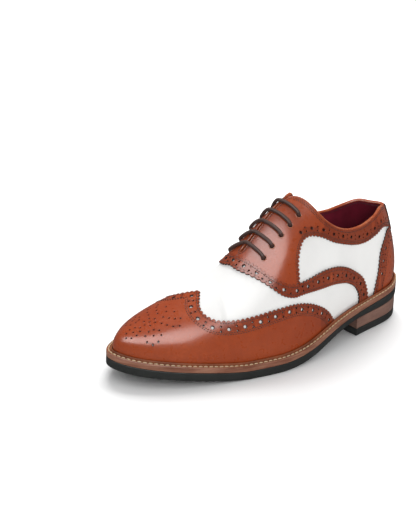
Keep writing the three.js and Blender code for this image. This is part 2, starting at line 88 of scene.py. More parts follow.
# Sole profile. Columns: share of the length, underside as shares of the heel height and of the toe
# spring, outsole as a share of its thickness, welt margin as a share of its width
PROFILE_ROWS = [
    (0.000, 1.000, 0.000, 1.15, 0.64),
    (0.130, 0.878, 0.000, 1.00, 0.70),
    (0.250, 0.820, 0.000, 0.72, 0.80),
    (0.360, 0.585, 0.000, 0.83, 0.86),
    (0.460, 0.205, 0.000, 0.97, 0.93),
    (0.550, 0.030, 0.000, 1.00, 0.96),
    (0.590, 0.000, 0.000, 1.00, 0.98),
    (0.665, 0.000, 0.000, 1.00, 1.00),
    (0.730, 0.000, 0.140, 1.00, 1.00),
    (0.810, 0.000, 0.400, 1.00, 1.00),
    (0.900, 0.000, 0.660, 1.00, 1.00),
    (1.000, 0.000, 1.000, 1.00, 1.00),
]

# Ridge of the last. Columns: share of the length, sideways place as a share of the sole's width,
# height over the welt as a share of the instep height
RIDGE_ROWS = [
    (0.110, 0.000, 0.994),
    (0.200, -0.010, 1.097),
    (0.320, -0.030, 1.160),
    (0.410, -0.022, 1.103),
    (0.470, -0.010, 1.043),
    (0.530, 0.006, 0.918),
    (0.600, 0.020, 0.735),
    (0.680, 0.010, 0.557),
    (0.760, 0.000, 0.433),
    (0.830, -0.020, 0.331),
    (0.885, -0.040, 0.255),
]

# Wall between feather edge and ridge, a cubic with two handles. Columns: share of the length,
# lower handle as a share of the height, upper handle as a share of the width, bulge over the welt
WALL_ROWS = [
    (0.000, 0.36, 0.02, 0.76),
    (0.040, 0.42, 0.17, 0.66),
    (0.100, 0.58, 0.43, 0.35),
    (0.200, 0.66, 0.62, 0.14),
    (0.300, 0.66, 0.68, 0.00),
    (0.420, 0.58, 0.56, 0.00),
    (0.520, 0.50, 0.72, 0.14),
    (0.650, 0.52, 0.66, 0.29),
    (0.800, 0.56, 0.58, 0.36),
    (0.920, 0.62, 0.62, 0.36),
    (1.000, 0.66, 0.66, 0.29),
]

# Edges of the panels, as places on the last. Columns: station, height
TOPLINE_ROWS = [
    (0.000, 0.580),
    (0.080, 0.576),
    (0.163, 0.540),
    (0.240, 0.440),
    (0.295, 0.392),
    (0.343, 0.400),
    (0.375, 0.455),
    (0.395, 0.535),
    (0.406, 0.620),
    (0.413, 0.720),
    (0.420, 0.850),
    (0.427, 0.935),
]
SLIT_START = 0.436
SLIT_END = 0.575
FACING_ROWS = [
    (0.578, 1.000),
    (0.573, 0.870),
    (0.555, 0.652),
    (0.532, 0.505),
    (0.508, 0.420),
    (0.494, 0.412),
    (0.488, 0.490),
    (0.475, 0.552),
    (0.460, 0.572),
    (0.443, 0.550),
    (0.422, 0.490),
    (0.388, 0.380),
    (0.340, 0.304),
    (0.292, 0.284),
    (0.245, 0.312),
    (0.188, 0.375),
    (0.100, 0.402),
    (0.003, 0.410),
]
COUNTER_ROWS = [
    (0.000, 0.392),
    (0.100, 0.384),
    (0.160, 0.356),
    (0.198, 0.285),
    (0.228, 0.195),
    (0.238, 0.100),
    (0.253, 0.000),
]
WING_ROWS = [
    (0.397, 0.000),
    (0.417, 0.065),
    (0.448, 0.145),
    (0.478, 0.215),
    (0.515, 0.290),
    (0.557, 0.345),
    (0.598, 0.380),
    (0.640, 0.430),
    (0.680, 0.510),
    (0.703, 0.635),
    (0.710, 0.770),
    (0.704, 0.900),
    (0.697, 1.000),
]
BAND_TOE_ROWS = [
    (0.310, 0.000),
    (0.311, 0.030),
    (0.323, 0.075),
    (0.350, 0.120),
    (0.383, 0.155),
    (0.440, 0.220),
    (0.485, 0.290),
    (0.512, 0.335),
    (0.537, 0.415),
    (0.562, 0.570),
    (0.590, 0.790),
    (0.601, 0.900),
    (0.605, 1.000),
]
BAND_HEEL_ROWS = [
    (0.279, 0.000),
    (0.283, 0.035),
    (0.297, 0.095),
    (0.333, 0.160),
    (0.370, 0.215),
    (0.420, 0.280),
    (0.476, 0.345),
    (0.508, 0.405),
    (0.532, 0.490),
    (0.555, 0.635),
    (0.575, 0.860),
    (0.582, 0.950),
    (0.584, 1.000),
]

# Eyelets on the outer side, from the vamp up. Columns: station, height
EYELET_ROWS = [
    (0.549, 0.768),
    (0.526, 0.779),
    (0.502, 0.769),
    (0.477, 0.753),
    (0.450, 0.749),
]
# The inner eyelets sit this much nearer the toe, in stations
INNER_EYELET_SHIFT = 0.012

# The tongue. Columns: station, depth under the lining as a share of the room that the lace needs
TONGUE_ROWS = [
    (0.428, 1.00),
    (0.460, 1.00),
    (0.500, 1.00),
    (0.545, 1.00),
    (0.575, 0.80),
    (0.605, 0.25),
    (0.630, 0.00),
    (0.655, 0.00),
]
TONGUE_SIDE = 0.64

# The wing's row of holes: shares of the run from the feather to the peak, distances from the edge
ROW_INSET = ([0.0, 0.3, 0.55, 0.8, 1.0], [0.85, 0.85, 1.05, 1.35, 1.15])

# The facing's front edge where it lies under the band, and the corner where it comes out
TUCKED_ROWS = [
    (0.592, 1.000),
    (0.583, 0.870),
    (0.564, 0.650),
    (0.541, 0.500),
    (0.517, 0.395),
    (0.4945, 0.370),
]
FACING_CORNER = (0.4915, 0.430)

# Medallion on the toe. Columns: distance behind the sole's toe end, distance from the centre line,
# as shares of the sole width. Each place off the centre line is punched on both sides of it
MEDALLION_ROWS = [
    (0.125, 0.000),
    (0.150, 0.036),
    (0.192, 0.050),
    (0.234, 0.036),
    (0.260, 0.000),
    (0.192, 0.000),
    (0.305, 0.000),
    (0.330, 0.044),
    (0.380, 0.044),
    (0.405, 0.000),
    (0.355, 0.000),
    (0.238, 0.105),
    (0.225, 0.148),
    (0.255, 0.186),
    (0.300, 0.200),
    (0.343, 0.180),
    (0.352, 0.138),
    (0.322, 0.104),
    (0.280, 0.092),
    (0.290, 0.146),
    (0.408, 0.092),
    (0.430, 0.138),
    (0.460, 0.180),
    (0.505, 0.208),
    (0.462, 0.040),
    (0.485, 0.088),
    (0.515, 0.130),
    (0.552, 0.156),
    (0.520, 0.000),
    (0.560, 0.058),
]
MEDALLION_SIDE = 0.045

# Curves and the last's surface


def cubic_through(places, values, closed=False):
    """A smooth cubic through the points, with free ends or closed into a loop."""
    x = np.asarray(places, float)
    y = np.asarray(values, float)
    last = len(x) - 1
    gaps = np.diff(x)
    slopes = np.diff(y) / gaps
    matrix = np.eye(last + 1)
    right = np.zeros(last + 1)
    for i in range(1, last):
        matrix[i, i - 1:i + 2] = gaps[i - 1], 2 * (gaps[i - 1] + gaps[i]), gaps[i]
        right[i] = 6 * (slopes[i] - slopes[i - 1])
    if closed:
        matrix[0, [0, 1, last - 1]] = 2 * (gaps[0] + gaps[-1]), gaps[0], gaps[-1]
        matrix[last, 0] = -1
        right[0] = 6 * (slopes[0] - slopes[-1])
    bends = np.linalg.solve(matrix, right)

    def at(asked):
        place = np.asarray(asked, float)
        if closed:
            place = x[0] + np.mod(place - x[0], x[-1] - x[0])
        i = np.clip(np.searchsorted(x, place) - 1, 0, last - 1)
        before = place - x[i]
        after = x[i + 1] - place
        gap = gaps[i]
        return (
            (bends[i] * after ** 3 + bends[i + 1] * before ** 3) / (6 * gap)
            + (y[i] / gap - bends[i] * gap / 6) * after
            + (y[i + 1] / gap - bends[i + 1] * gap / 6) * before
        )

    return at


def column(rows, index):
    return np.array([row[index] for row in rows], float)


def turn_of_share(share):
    return np.arccos(1 - 2 * np.clip(share, 0, 1)) / pi


def share_of_turn(turn):
    return (1 - np.cos(pi * np.asarray(turn))) / 2


def folded(turn):
    around = np.mod(turn, 2)
    return np.where(around <= 1, around, 2 - around)


outline_turns = turn_of_share(column(OUTLINE_ROWS, 0))
outline_curve = cubic_through(
    [*outline_turns, *(2 - outline_turns[-2::-1])],
    [*column(OUTLINE_ROWS, 1), *column(OUTLINE_ROWS, 2)[-2::-1]],
    closed=True,
)
profile_shares = column(PROFILE_ROWS, 0)
heel_rise, spring_rise, outsole_share = [
    cubic_through(profile_shares, column(PROFILE_ROWS, i)) for i in (1, 2, 3)
]
ridge_side, ridge_rise = [cubic_through(column(RIDGE_ROWS, 0), column(RIDGE_ROWS, i)) for i in (1, 2)]
wall_turns = turn_of_share(column(WALL_ROWS, 0))
low_handle, high_handle, bulge = [cubic_through(wall_turns, column(WALL_ROWS, i)) for i in (1, 2, 3)]
RIDGE_START = RIDGE_ROWS[0][0]
RIDGE_END = RIDGE_ROWS[-1][0]


def outline_raw(turn):
    return np.stack([SOLE_WIDTH * outline_curve(turn), SOLE_LENGTH * (0.5 - share_of_turn(turn))], -1)


# The sole's outline is centred on the origin
outline_sides = outline_raw(np.linspace(0, 2, 49))[:, 0]
SHIFT = -(outline_sides.max() + outline_sides.min()) / 2


def outline(turn):
    return outline_raw(turn) + (SHIFT, 0)


def outward(turn):
    reach = 1e-4
    along = outline_raw(turn + reach) - outline_raw(turn - reach)
    along /= np.linalg.norm(along, axis=-1, keepdims=True)
    return np.stack([-along[..., 1], along[..., 0]], -1)


def share_at(y):
    return np.clip(0.5 - y / SOLE_LENGTH, 0, 1)


def underside_at(y):
    share = share_at(y)
    rise = HEEL_HEIGHT * heel_rise(share) + TOE_SPRING * spring_rise(share)
    return np.maximum(0, rise - CLEARANCE)


def outsole_top_at(y):
    return underside_at(y) + OUTSOLE_THICKNESS * outsole_share(share_at(y))


def welt_bottom_at(y):
    return outsole_top_at(y) + CLEARANCE


def welt_top_at(y):
    return welt_bottom_at(y) + WELT_THICKNESS


def margin_at(share):
    return WELT_MARGIN * np.interp(share, profile_shares, column(PROFILE_ROWS, 4))


def ridge_point(share):
    y = SOLE_LENGTH * (0.5 - share)
    x = SOLE_WIDTH * ridge_side(share) + SHIFT
    return np.stack([x, y, welt_top_at(y) + INSTEP_HEIGHT * ridge_rise(share)], -1)


def ridge_slope(share):
    reach = 1e-3
    low = ridge_point(np.minimum(share + reach, RIDGE_END))
    high = ridge_point(np.maximum(share - reach, RIDGE_START))
    return (high[..., 2] - low[..., 2]) / (high[..., 1] - low[..., 1])


def last_point(places):
    """Points on the last. A place is a turn round the shoe and a height from feather edge to ridge."""
    turn, height = np.asarray(places, float).T
    station = folded(turn)
    share = share_of_turn(station)
    out = outward(turn)
    foot = outline(turn) - out * margin_at(share)[:, None]
    feather = np.column_stack([foot, welt_top_at(foot[:, 1]) + CLEARANCE])
    ridge_share = RIDGE_START + (RIDGE_END - RIDGE_START) * share
    ridge = ridge_point(ridge_share)
    low = feather + np.column_stack([
        out * (bulge(station) * WELT_MARGIN)[:, None],
        low_handle(station) * (ridge[:, 2] - feather[:, 2]),
    ])
    across = feather - ridge
    across[:, 2] = across[:, 1] * ridge_slope(ridge_share)
    high = ridge + across * high_handle(station)[:, None]
    v = height[:, None]
    rest = 1 - v
    return rest ** 3 * feather + 3 * rest ** 2 * v * low + 3 * rest * v ** 2 * high + v ** 3 * ridge


def tangents(places):
    """How a point moves with the turn and with the height."""
    reach = 1e-3
    turn, height = np.asarray(places, float).T
    above = np.minimum(height + reach, 1)
    below = np.maximum(height - reach, 0)
    round_shoe = last_point(np.column_stack([turn + reach, height]))
    round_shoe -= last_point(np.column_stack([turn - reach, height]))
    upward = last_point(np.column_stack([turn, above])) - last_point(np.column_stack([turn, below]))
    return round_shoe / (2 * reach), upward / (above - below)[:, None]


def unit(vectors):
    return vectors / np.maximum(np.linalg.norm(vectors, axis=-1, keepdims=True), 1e-12)


def last_normal(places):
    places = np.asarray(places, float)
    round_shoe, upward = tangents(places)
    normal = np.cross(upward, round_shoe)
    ridge_share = RIDGE_START + (RIDGE_END - RIDGE_START) * share_of_turn(folded(places[:, 0]))
    slope = ridge_slope(ridge_share)
    crest = np.column_stack([np.zeros_like(slope), -slope, np.ones_like(slope)])
    return unit(np.where(places[:, 1:] > 1 - 1e-5, crest, normal))


def over_ridge(places):
    """Heights from 1 to 2 run down the other side."""
    places = np.array(places, float)
    over = places[:, 1] > 1
    places[over] = 2 - places[over]
    return places


def on_last(places, offset):
    places = over_ridge(places)
    return last_point(places) + last_normal(places) * np.reshape(offset, (-1, 1))


def slide(places, move, rounds=3):
    """Places reached from places by a move over the surface, in metres."""
    goal = last_point(places) + move
    at = np.array(places, float)
    for _ in range(rounds):
        miss = goal - last_point(at)
        round_shoe, upward = tangents(at)
        a = (round_shoe ** 2).sum(1) + 1e-9
        b = (round_shoe * upward).sum(1)
        c = (upward ** 2).sum(1) + 1e-9
        p = (round_shoe * miss).sum(1)
        q = (upward * miss).sum(1)
        size = a * c - b * b
        at[:, 0] += (c * p - b * q) / size
        at[:, 1] += (a * q - b * p) / size
        at[:, 1] = np.maximum(at[:, 1], 0)
        at = over_ridge(at)
    return at


# A paper pattern of the whole upper, spread out round its ridge, in millimetres
SPREAD = 40 * mm

# About the run round the last and up its side, for the grid of the leathers
ROUND_THE_LAST = 760 * mm
UP_THE_LAST = 100 * mm


def on_paper(places):
    places = np.asarray(places, float)
    return (last_point(places)[:, :2] + outward(places[:, 0]) * (1 - places[:, 1:]) * SPREAD) / mm


# Lines on the last


def eased(values, gaps, leans, between):
    """Points between the values, which a curve leaves and reaches with the given leans."""
    made = []
    for i in range(len(values) - 1):
        s = np.linspace(0, 1, between, endpoint=False)[:, None]
        made.append(
            (2 * s ** 3 - 3 * s ** 2 + 1) * values[i] + (s ** 3 - 2 * s ** 2 + s) * gaps[i] * leans[i]
            + (3 * s ** 2 - 2 * s ** 3) * values[i + 1] + (s ** 3 - s ** 2) * gaps[i] * leans[i + 1]
        )
    return np.vstack([*made, values[-1:]])


def middle_leans(gaps, slopes):
    return (gaps[1:] * slopes[:-1] + gaps[:-1] * slopes[1:]) / (gaps[1:] + gaps[:-1])


def gaps_along(points):
    return np.sqrt(np.linalg.norm(np.diff(points, axis=0), axis=1))[:, None]


def soft_line(rows, between=16):
    """Close places along a smooth line through the rows."""
    rows = np.asarray(rows, float)
    gaps = gaps_along(on_paper(rows))
    slopes = np.diff(rows, axis=0) / gaps
    leans = np.empty_like(rows)
    leans[1:-1] = middle_leans(gaps, slopes)
    leans[0] = 1.5 * slopes[0] - 0.5 * leans[1]
    leans[-1] = 1.5 * slopes[-1] - 0.5 * leans[-2]
    return eased(rows, gaps, leans, between)


def mirrored(places):
    """The same line on the other side of the shoe, walked the other way."""
    places = np.array(places, float)[::-1]
    places[:, 0] = 2 - places[:, 0]
    return places


class Line:
    """A line on the last: close places with their running length. Left of it is the panel it edges."""

    def __init__(self, places):
        self.places = np.asarray(places, float)
        points = last_point(self.places)
        steps = np.linalg.norm(np.diff(points, axis=0), axis=1)
        keep = np.concatenate([[True], steps > 1e-7])
        self.places = self.places[keep]
        self.runs = np.concatenate([[0], np.cumsum(steps[keep[1:]])])
        self.length = self.runs[-1]

    def at(self, run):
        """Places at running lengths. The turn never jumps between neighbours on one line."""
        return np.column_stack([np.interp(run, self.runs, self.places[:, i]) for i in (0, 1)])

    def frame(self, run):
        """Places with their points and the directions along, left and up from the surface."""
        reach = 0.4 * mm
        run = np.asarray(run, float)
        places = self.at(run)
        after = last_point(self.at(np.minimum(run + reach, self.length)))
        before = last_point(self.at(np.maximum(run - reach, 0)))
        normal = last_normal(places)
        along = unit(after - before)
        left = unit(np.cross(normal, along))
        return places, last_point(places), along, left, normal

    def spaced(self, pitch):
        """Running lengths at the middle of equal steps of about one pitch."""
        count = max(1, round(self.length / pitch))
        return (np.arange(count) + 0.5) * self.length / count

    def ends(self, pitch):
        count = max(1, round(self.length / pitch))
        return np.linspace(0, self.length, count + 1)


def beside(line, inset, one_side=False):
    """A line inside its panel, an inset away. One side stops where it would cross the ridge.

    The inset is a distance, or a function that gives it for running lengths.
    """
    runs = line.ends(1.5 * mm)
    places, _, along, left, _ = line.frame(runs)
    distance = inset(runs) if callable(inset) else np.full(len(runs), inset)
    moved = slide(places, left * distance[:, None])
    if one_side:
        crossed = np.abs(moved[:, 0] - places[:, 0]) > 0.3
        if crossed.any():
            far = np.argmax(crossed)
            moved = moved[:far]
            along = along[:far]
    new = last_point(moved)
    steps = np.diff(new, axis=0)
    forward = (steps * along[:-1]).sum(1) > 0
    return Line(moved[np.concatenate([[True], forward])])


class WholeLine(Line):
    """A line over the ridge, made of two mirrored halves, whose turn jumps at the ridge."""

    def __init__(self, half):
        self.half = half
        self.length = 2 * half.length

    def at(self, run):
        run = np.atleast_1d(np.asarray(run, float))
        far = run > self.half.length
        places = self.half.at(np.where(far, self.length - run, run))
        places[far, 0] = 2 - places[far, 0]
        return places


TOOTH = [(0.0, 0.0), (0.16, 0.5), (0.34, 0.9), (0.5, 1.0), (0.66, 0.9), (0.84, 0.5)]


def pinked(line, pitch, depth):
    """Places along a line cut into teeth that point away from the panel."""
    count = max(1, round(line.length / pitch))
    shape = np.array(TOOTH)
    runs = ((np.arange(count)[:, None] + shape[None, :, 0]) / count * line.length).ravel()
    runs = np.append(runs, line.length)
    reach = np.append(np.tile(shape[:, 1], count), 0) - 0.5
    places, _, _, left, _ = line.frame(runs)
    return slide(places, -left * (reach * depth)[:, None])


def plain(line, pitch=2.5 * mm):
    return line.at(line.ends(pitch))


def discs(places, along, left, radius, sides):
    """Round hole loops about the places."""
    angles = np.arange(sides) * 2 * pi / sides
    count = len(places)
    turned = (
        along[:, None] * np.cos(angles)[None, :, None] + left[:, None] * np.sin(angles)[None, :, None]
    ) * radius
    spread = slide(np.repeat(places, sides, axis=0), turned.reshape(-1, 3))
    return list(spread.reshape(count, sides, 2))


PUNCH_SIDES = 14
SMALL_SIDES = 9


def punch_row(row, pitch, big, small, apart):
    """Big holes in a row with a pair of small ones between each two."""
    runs = row.spaced(pitch)
    places, _, along, left, _ = row.frame(runs)
    loops = discs(places, along, left, big / 2, PUNCH_SIDES)
    if len(runs) > 1:
        places, _, along, left, _ = row.frame((runs[1:] + runs[:-1]) / 2)
        for side in (-1, 1):
            loops += discs(slide(places, left * side * apart / 2), along, left, small / 2, SMALL_SIDES)
    return loops


# Meshes


def new_object(name, verts, faces, finishes, looks=None, normals=None, smooth=True):
    mesh = bpy.data.meshes.new(name)
    mesh.from_pydata([tuple(v) for v in verts], [], [tuple(f) for f in faces])
    for finish in finishes:
        mesh.materials.append(finish)
    if looks is not None:
        mesh.polygons.foreach_set("material_index", np.asarray(looks, dtype=np.int32))
    mesh.polygons.foreach_set("use_smooth", np.full(len(mesh.polygons), smooth))
    mesh.update()
    if normals is not None:
        mesh.normals_split_custom_set([tuple(n) for n in normals])
    piece = bpy.data.objects.new(name, mesh)
    bpy.context.scene.collection.objects.link(piece)
    return piece


def ready(piece, slot, *nodes):
    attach(piece, "root")
    if nodes:
        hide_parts(*nodes)
    return piece


def inside(points, loops):
    """Which points lie inside an odd number of the loops."""
    starts = np.vstack(loops)
    ends = np.vstack([np.roll(loop, -1, axis=0) for loop in loops])
    x1, y1 = starts.T
    x2, y2 = ends.T
    lean = (x2 - x1) / np.where(np.abs(y2 - y1) < 1e-12, 1e-12, y2 - y1)
    found = np.zeros(len(points), bool)
    for first in range(0, len(points), 400):
        x = points[first:first + 400, 0:1]
        y = points[first:first + 400, 1:2]
        crossing = ((y1 > y) != (y2 > y)) & (x < x1 + (y - y1) * lean)
        found[first:first + 400] = crossing.sum(1) % 2 == 1
    return found


def doubled_area(loop):
    x, y = loop.T
    return np.sum(x * np.roll(y, -1) - y * np.roll(x, -1))


def clear_of(points, others, gap):
    """Which points lie further than a gap from all the others."""
    free = np.ones(len(points), bool)
    for first in range(0, len(points), 400):
        part = points[first:first + 400]
        far = ((part[:, None] - others[None]) ** 2).sum(2).min(1)
        free[first:first + 400] = far > gap * gap
    return free


def cut_sheet(
    name, outer, holes, top, bottom, finishes, spacing=3.4 * mm, bevel=0.3 * mm, region=None, taper=0.0,
):
    """Leather cut to an outer loop with holes, laid on the last from a bottom to a top offset.

    The finishes are those of the face, the cut edge and the back. A region tells which places of
    the face take the cut edge's finish. Holes narrow towards the back by the taper.
    """
    loops = [np.asarray(loop, float) for loop in [outer, *holes]]
    papers = [on_paper(loop) for loop in loops]
    for i, paper in enumerate(papers):
        if (doubled_area(paper) > 0) != (i == 0):
            loops[i] = loops[i][::-1]
            papers[i] = paper[::-1]
    edge_paper = np.vstack(papers)

    # Places between the edges, on a grid round the shoe
    turns = np.linspace(0, 2, 1 + round(ROUND_THE_LAST / spacing), endpoint=False)
    heights = np.arange(0.5, UP_THE_LAST / spacing) * spacing / UP_THE_LAST
    grid = np.stack(np.meshgrid(turns, heights, indexing="ij"), -1).reshape(-1, 2)
    paper = on_paper(grid)
    box = (paper >= edge_paper.min(0)).all(1) & (paper <= edge_paper.max(0)).all(1)
    grid = grid[box]
    paper = paper[box]
    keep = inside(paper, papers)
    grid = grid[keep]
    paper = paper[keep]
    keep = clear_of(paper, edge_paper, 0.6 * spacing / mm)
    grid = grid[keep]
    paper = paper[keep]

    edges = []
    start = 0
    after = []
    for loop in loops:
        ring = np.arange(start, start + len(loop))
        edges.append(np.column_stack([ring, np.roll(ring, -1)]))
        after.append(np.roll(ring, -1))
        start += len(loop)
    rim = start
    edges = np.vstack(edges)
    everywhere = np.vstack([edge_paper, paper])
    result = delaunay_2d_cdt(
        [Vector(p) for p in everywhere], [tuple(map(int, e)) for e in edges], [], 0, 1e-5, True,
    )
    flat = np.array([tuple(v) for v in result[0]])
    source = np.array([ids[0] if ids else -1 for ids in result[3]])
    lost = np.flatnonzero(source < 0)
    for i in lost:
        source[i] = np.argmin(((everywhere - flat[i]) ** 2).sum(1))
    faces = np.array([f for f in result[2] if len(f) == 3])
    keep = inside(flat[faces].mean(1), papers)
    faces = source[faces[keep]]
    a, b, c = (everywhere[faces[:, i]] for i in range(3))
    area = (b[:, 0] - a[:, 0]) * (c[:, 1] - a[:, 1]) - (b[:, 1] - a[:, 1]) * (c[:, 0] - a[:, 0])
    faces = faces[np.abs(area) > 1e-7]
    area = area[np.abs(area) > 1e-7]
    faces[area < 0] = faces[area < 0][:, ::-1]

    places = np.vstack([*loops, grid])
    points = last_point(places)
    normals = last_normal(places)
    left = np.zeros_like(points[:rim])
    start = 0
    for loop in loops:
        part = slice(start, start + len(loop))
        along = unit(np.roll(points[part], -1, axis=0) - np.roll(points[part], 1, axis=0))
        left[part] = unit(np.cross(normals[part], along))
        start += len(loop)

    # Rings of points: the face, the rounded rim, the foot of the cut edge, the back
    face_points = points + normals * top
    face_points[:rim] += left * bevel
    rim_points = points[:rim] + normals[:rim] * (top - bevel)
    back_points = points + normals * bottom
    back_points[len(loops[0]):rim] -= left[len(loops[0]):] * taper
    count = len(points)
    verts = np.vstack([face_points, rim_points, back_points])
    first, second = edges.T
    rounded = np.column_stack([first, first + count, second + count, second])
    back = count + rim
    wall = np.column_stack([first + count, first + back, second + back, second + count])
    back_faces = faces[:, ::-1] + back
    quads = np.vstack([rounded, wall])
    all_faces = [*faces, *quads, *back_faces]
    out = -left
    corner_normals = np.vstack([
        normals[faces].reshape(-1, 3),
        np.stack([normals[first], out[first], out[second], normals[second]], 1).reshape(-1, 3),
        np.stack([out[first], out[first], out[second], out[second]], 1).reshape(-1, 3),
        -normals[faces[:, ::-1]].reshape(-1, 3),
    ])
    face_look = np.zeros(len(faces), int)
    if region is not None:
        face_look = np.where(region(places)[faces].mean(1) > 0.5, 1, 0)
    looks = np.concatenate([
        face_look, np.zeros(len(rounded), int), np.ones(len(wall), int), np.full(len(back_faces), 2),
    ])
    piece = new_object(name, verts, all_faces, finishes, looks, corner_normals)

    # How far each point lies from the nearest edge of the panel, for the burnishing
    distance = np.zeros(len(verts))
    for first_row in range(rim, count, 400):
        part = points[first_row:min(first_row + 400, count)]
        near = np.sqrt(((part[:, None] - points[None, :rim]) ** 2).sum(2)).min(1)
        distance[first_row:first_row + len(part)] = near
    layer = piece.data.attributes.new("edge_distance", "FLOAT", "POINT")
    layer.data.foreach_set("value", distance)
    return piece


def swept(name, rings, finishes, closed_run):
    """A tube through rings of points. A closed run joins its last ring to its first."""
    rings = np.asarray(rings)
    count, sides = rings.shape[:2]
    verts = rings.reshape(-1, 3)
    faces = []
    spans = count if closed_run else count - 1
    for i in range(spans):
        for j in range(sides):
            k = (j + 1) % sides
            n = (i + 1) % count
            faces.append((i * sides + j, i * sides + k, n * sides + k, n * sides + j))
    if not closed_run:
        faces.append(tuple(range(sides))[::-1])
        faces.append(tuple((count - 1) * sides + j for j in range(sides)))
    return new_object(name, verts, faces, finishes)


# Thread

# Half a stitch. Columns: place along its length, thickness and sink as shares of its radius
HALF_STITCH = [(0.15, 1.0, 0.0), (0.4, 0.8, -0.25), (0.5, 0.25, -0.9)]
STITCH = [(-x, thick, sink) for x, thick, sink in HALF_STITCH[::-1]] + HALF_STITCH
STITCH_SIDES = 6


def stitches(name, rows, finish):
    """Rows of stitches as one mesh. A row gives points, along, left and up directions, and sizes."""
    angles = np.arange(STITCH_SIDES) * 2 * pi / STITCH_SIDES
    shape = np.array(STITCH)
    verts = []
    for points, along, left, normal, length, radius in rows:
        x = (shape[:, 0] * length)[:, None] * np.ones(STITCH_SIDES)
        y = (shape[:, 1] * radius)[:, None] * np.cos(angles)
        z = (shape[:, 1] * radius)[:, None] * np.sin(angles) + (shape[:, 2] * radius)[:, None]
        made = (
            points[:, None, None]
            + along[:, None, None] * x[None, :, :, None]
            + left[:, None, None] * y[None, :, :, None]
            + normal[:, None, None] * z[None, :, :, None]
        )
        verts.append(made.reshape(-1, 3))
    verts = np.vstack(verts)
    size = len(STITCH) * STITCH_SIDES
    one = []
    for i in range(len(STITCH) - 1):
        for j in range(STITCH_SIDES):
            k = (j + 1) % STITCH_SIDES
            a = i * STITCH_SIDES
            b = a + STITCH_SIDES
            one.append((a + j, a + k, b + k, b + j))
    starts = np.arange(len(verts) // size) * size
    quads = (starts[:, None, None] + np.array(one)[None]).reshape(-1, 4)
    near = starts[:, None] + np.arange(STITCH_SIDES)[::-1]
    far = starts[:, None] + size - STITCH_SIDES + np.arange(STITCH_SIDES)
    return new_object(name, verts, [*quads, *near, *far], [finish])


def stitch_row(row, pitch, offset, length=0.74, radius=0.3 * mm):
    """A row of stitches along a line, each a share of the pitch long."""
    runs = row.spaced(pitch)
    step = row.length / len(runs)
    _, points, along, left, normal = row.frame(runs)
    return points + normal * offset, along, left, normal, step * length, radius


# Finishes


class Finish:
    """A procedural material being built round its shader."""

    def __init__(self, name, roughness, **sockets):
        self.material = bpy.data.materials.new(name)
        self.material.use_nodes = True
        self.tree = self.material.node_tree
        self.shader = self.tree.nodes["Principled BSDF"]
        self.shader.inputs["Roughness"].default_value = roughness
        for socket, value in sockets.items():
            self.shader.inputs[socket.replace("_", " ")].default_value = value
        self.place = self.add("ShaderNodeTexCoord").outputs["Object"]

    def add(self, kind, **values):
        node = self.tree.nodes.new(kind)
        for key, value in values.items():
            if hasattr(node, key):
                setattr(node, key, value)
            else:
                node.inputs[key.replace("_", " ")].default_value = value
        return node

    def link(self, source, target):
        self.tree.links.new(source, target)

    def noise(self, scale, detail=3.0, roughness=0.55, stretch=None):
        node = self.add("ShaderNodeTexNoise", Scale=scale, Detail=detail)
        node.inputs["Roughness"].default_value = roughness
        if stretch:
            mapping = self.add("ShaderNodeMapping")
            mapping.inputs["Scale"].default_value = stretch
            self.link(self.place, mapping.inputs["Vector"])
            self.link(mapping.outputs["Vector"], node.inputs["Vector"])
        else:
            self.link(self.place, node.inputs["Vector"])
        return node.outputs["Fac"]

    def ranged(self, value, low, high, to_low=0.0, to_high=1.0):
        node = self.add("ShaderNodeMapRange")
        node.inputs["From Min"].default_value = low
        node.inputs["From Max"].default_value = high
        node.inputs["To Min"].default_value = to_low
        node.inputs["To Max"].default_value = to_high
        self.link(value, node.inputs["Value"])
        return node.outputs["Result"]

    def attribute(self, name):
        return self.add("ShaderNodeAttribute", attribute_name=name).outputs["Fac"]

    def maths(self, operation, first, second):
        node = self.add("ShaderNodeMath", operation=operation)
        for socket, value in zip(node.inputs, (first, second)):
            if isinstance(value, (int, float)):
                socket.default_value = value
            else:
                self.link(value, socket)
        return node.outputs["Value"]

    def mixed(self, share, first, second):
        node = self.add("ShaderNodeMix", data_type="RGBA")
        self.link(share, node.inputs["Factor"])
        for socket, value in ((node.inputs[6], first), (node.inputs[7], second)):
            if isinstance(value, bpy.types.NodeSocket):
                self.link(value, socket)
            else:
                socket.default_value = (*value[:3], 1.0)
        return node.outputs[2]

    def colour(self, value):
        self.link(value, self.shader.inputs["Base Color"])

    def roughness(self, value):
        self.link(value, self.shader.inputs["Roughness"])

    def bump(self, height, distance, strength=1.0, under=None):
        node = self.add("ShaderNodeBump", Strength=strength, Distance=distance)
        self.link(height, node.inputs["Height"])
        if under is not None:
            self.link(under, node.inputs["Normal"])
        self.link(node.outputs["Normal"], self.shader.inputs["Normal"])
        return node.outputs["Normal"]


def brown_calf(settings):
    """Polished calf: cognac, burnished darker at its cut edges, with a fine grain."""
    finish = Finish("brown_calf", 0.3, Coat_Weight=0.6, Coat_Roughness=0.2, IOR=1.4)
    cloud = finish.ranged(finish.noise(26, 4.0), 0.35, 0.68)
    base = finish.mixed(cloud, settings.brown, settings.brown_light)
    speck = finish.ranged(finish.noise(420, 5.0, 0.7), 0.4, 0.72, 0.0, 0.22)
    base = finish.mixed(speck, base, settings.brown_dark)
    worn = finish.ranged(finish.attribute("edge_distance"), 0.0, 0.9 * mm, 0.4, 0.0)
    finish.colour(finish.mixed(worn, base, settings.brown_dark))
    finish.roughness(finish.ranged(finish.noise(160, 4.0), 0.3, 0.7, 0.24, 0.38))
    grain = finish.bump(finish.noise(1500, 3.0, 0.6), 0.05 * mm, 0.35)
    finish.bump(finish.noise(210, 4.0, 0.6), 0.12 * mm, 0.25, grain)
    return finish.material


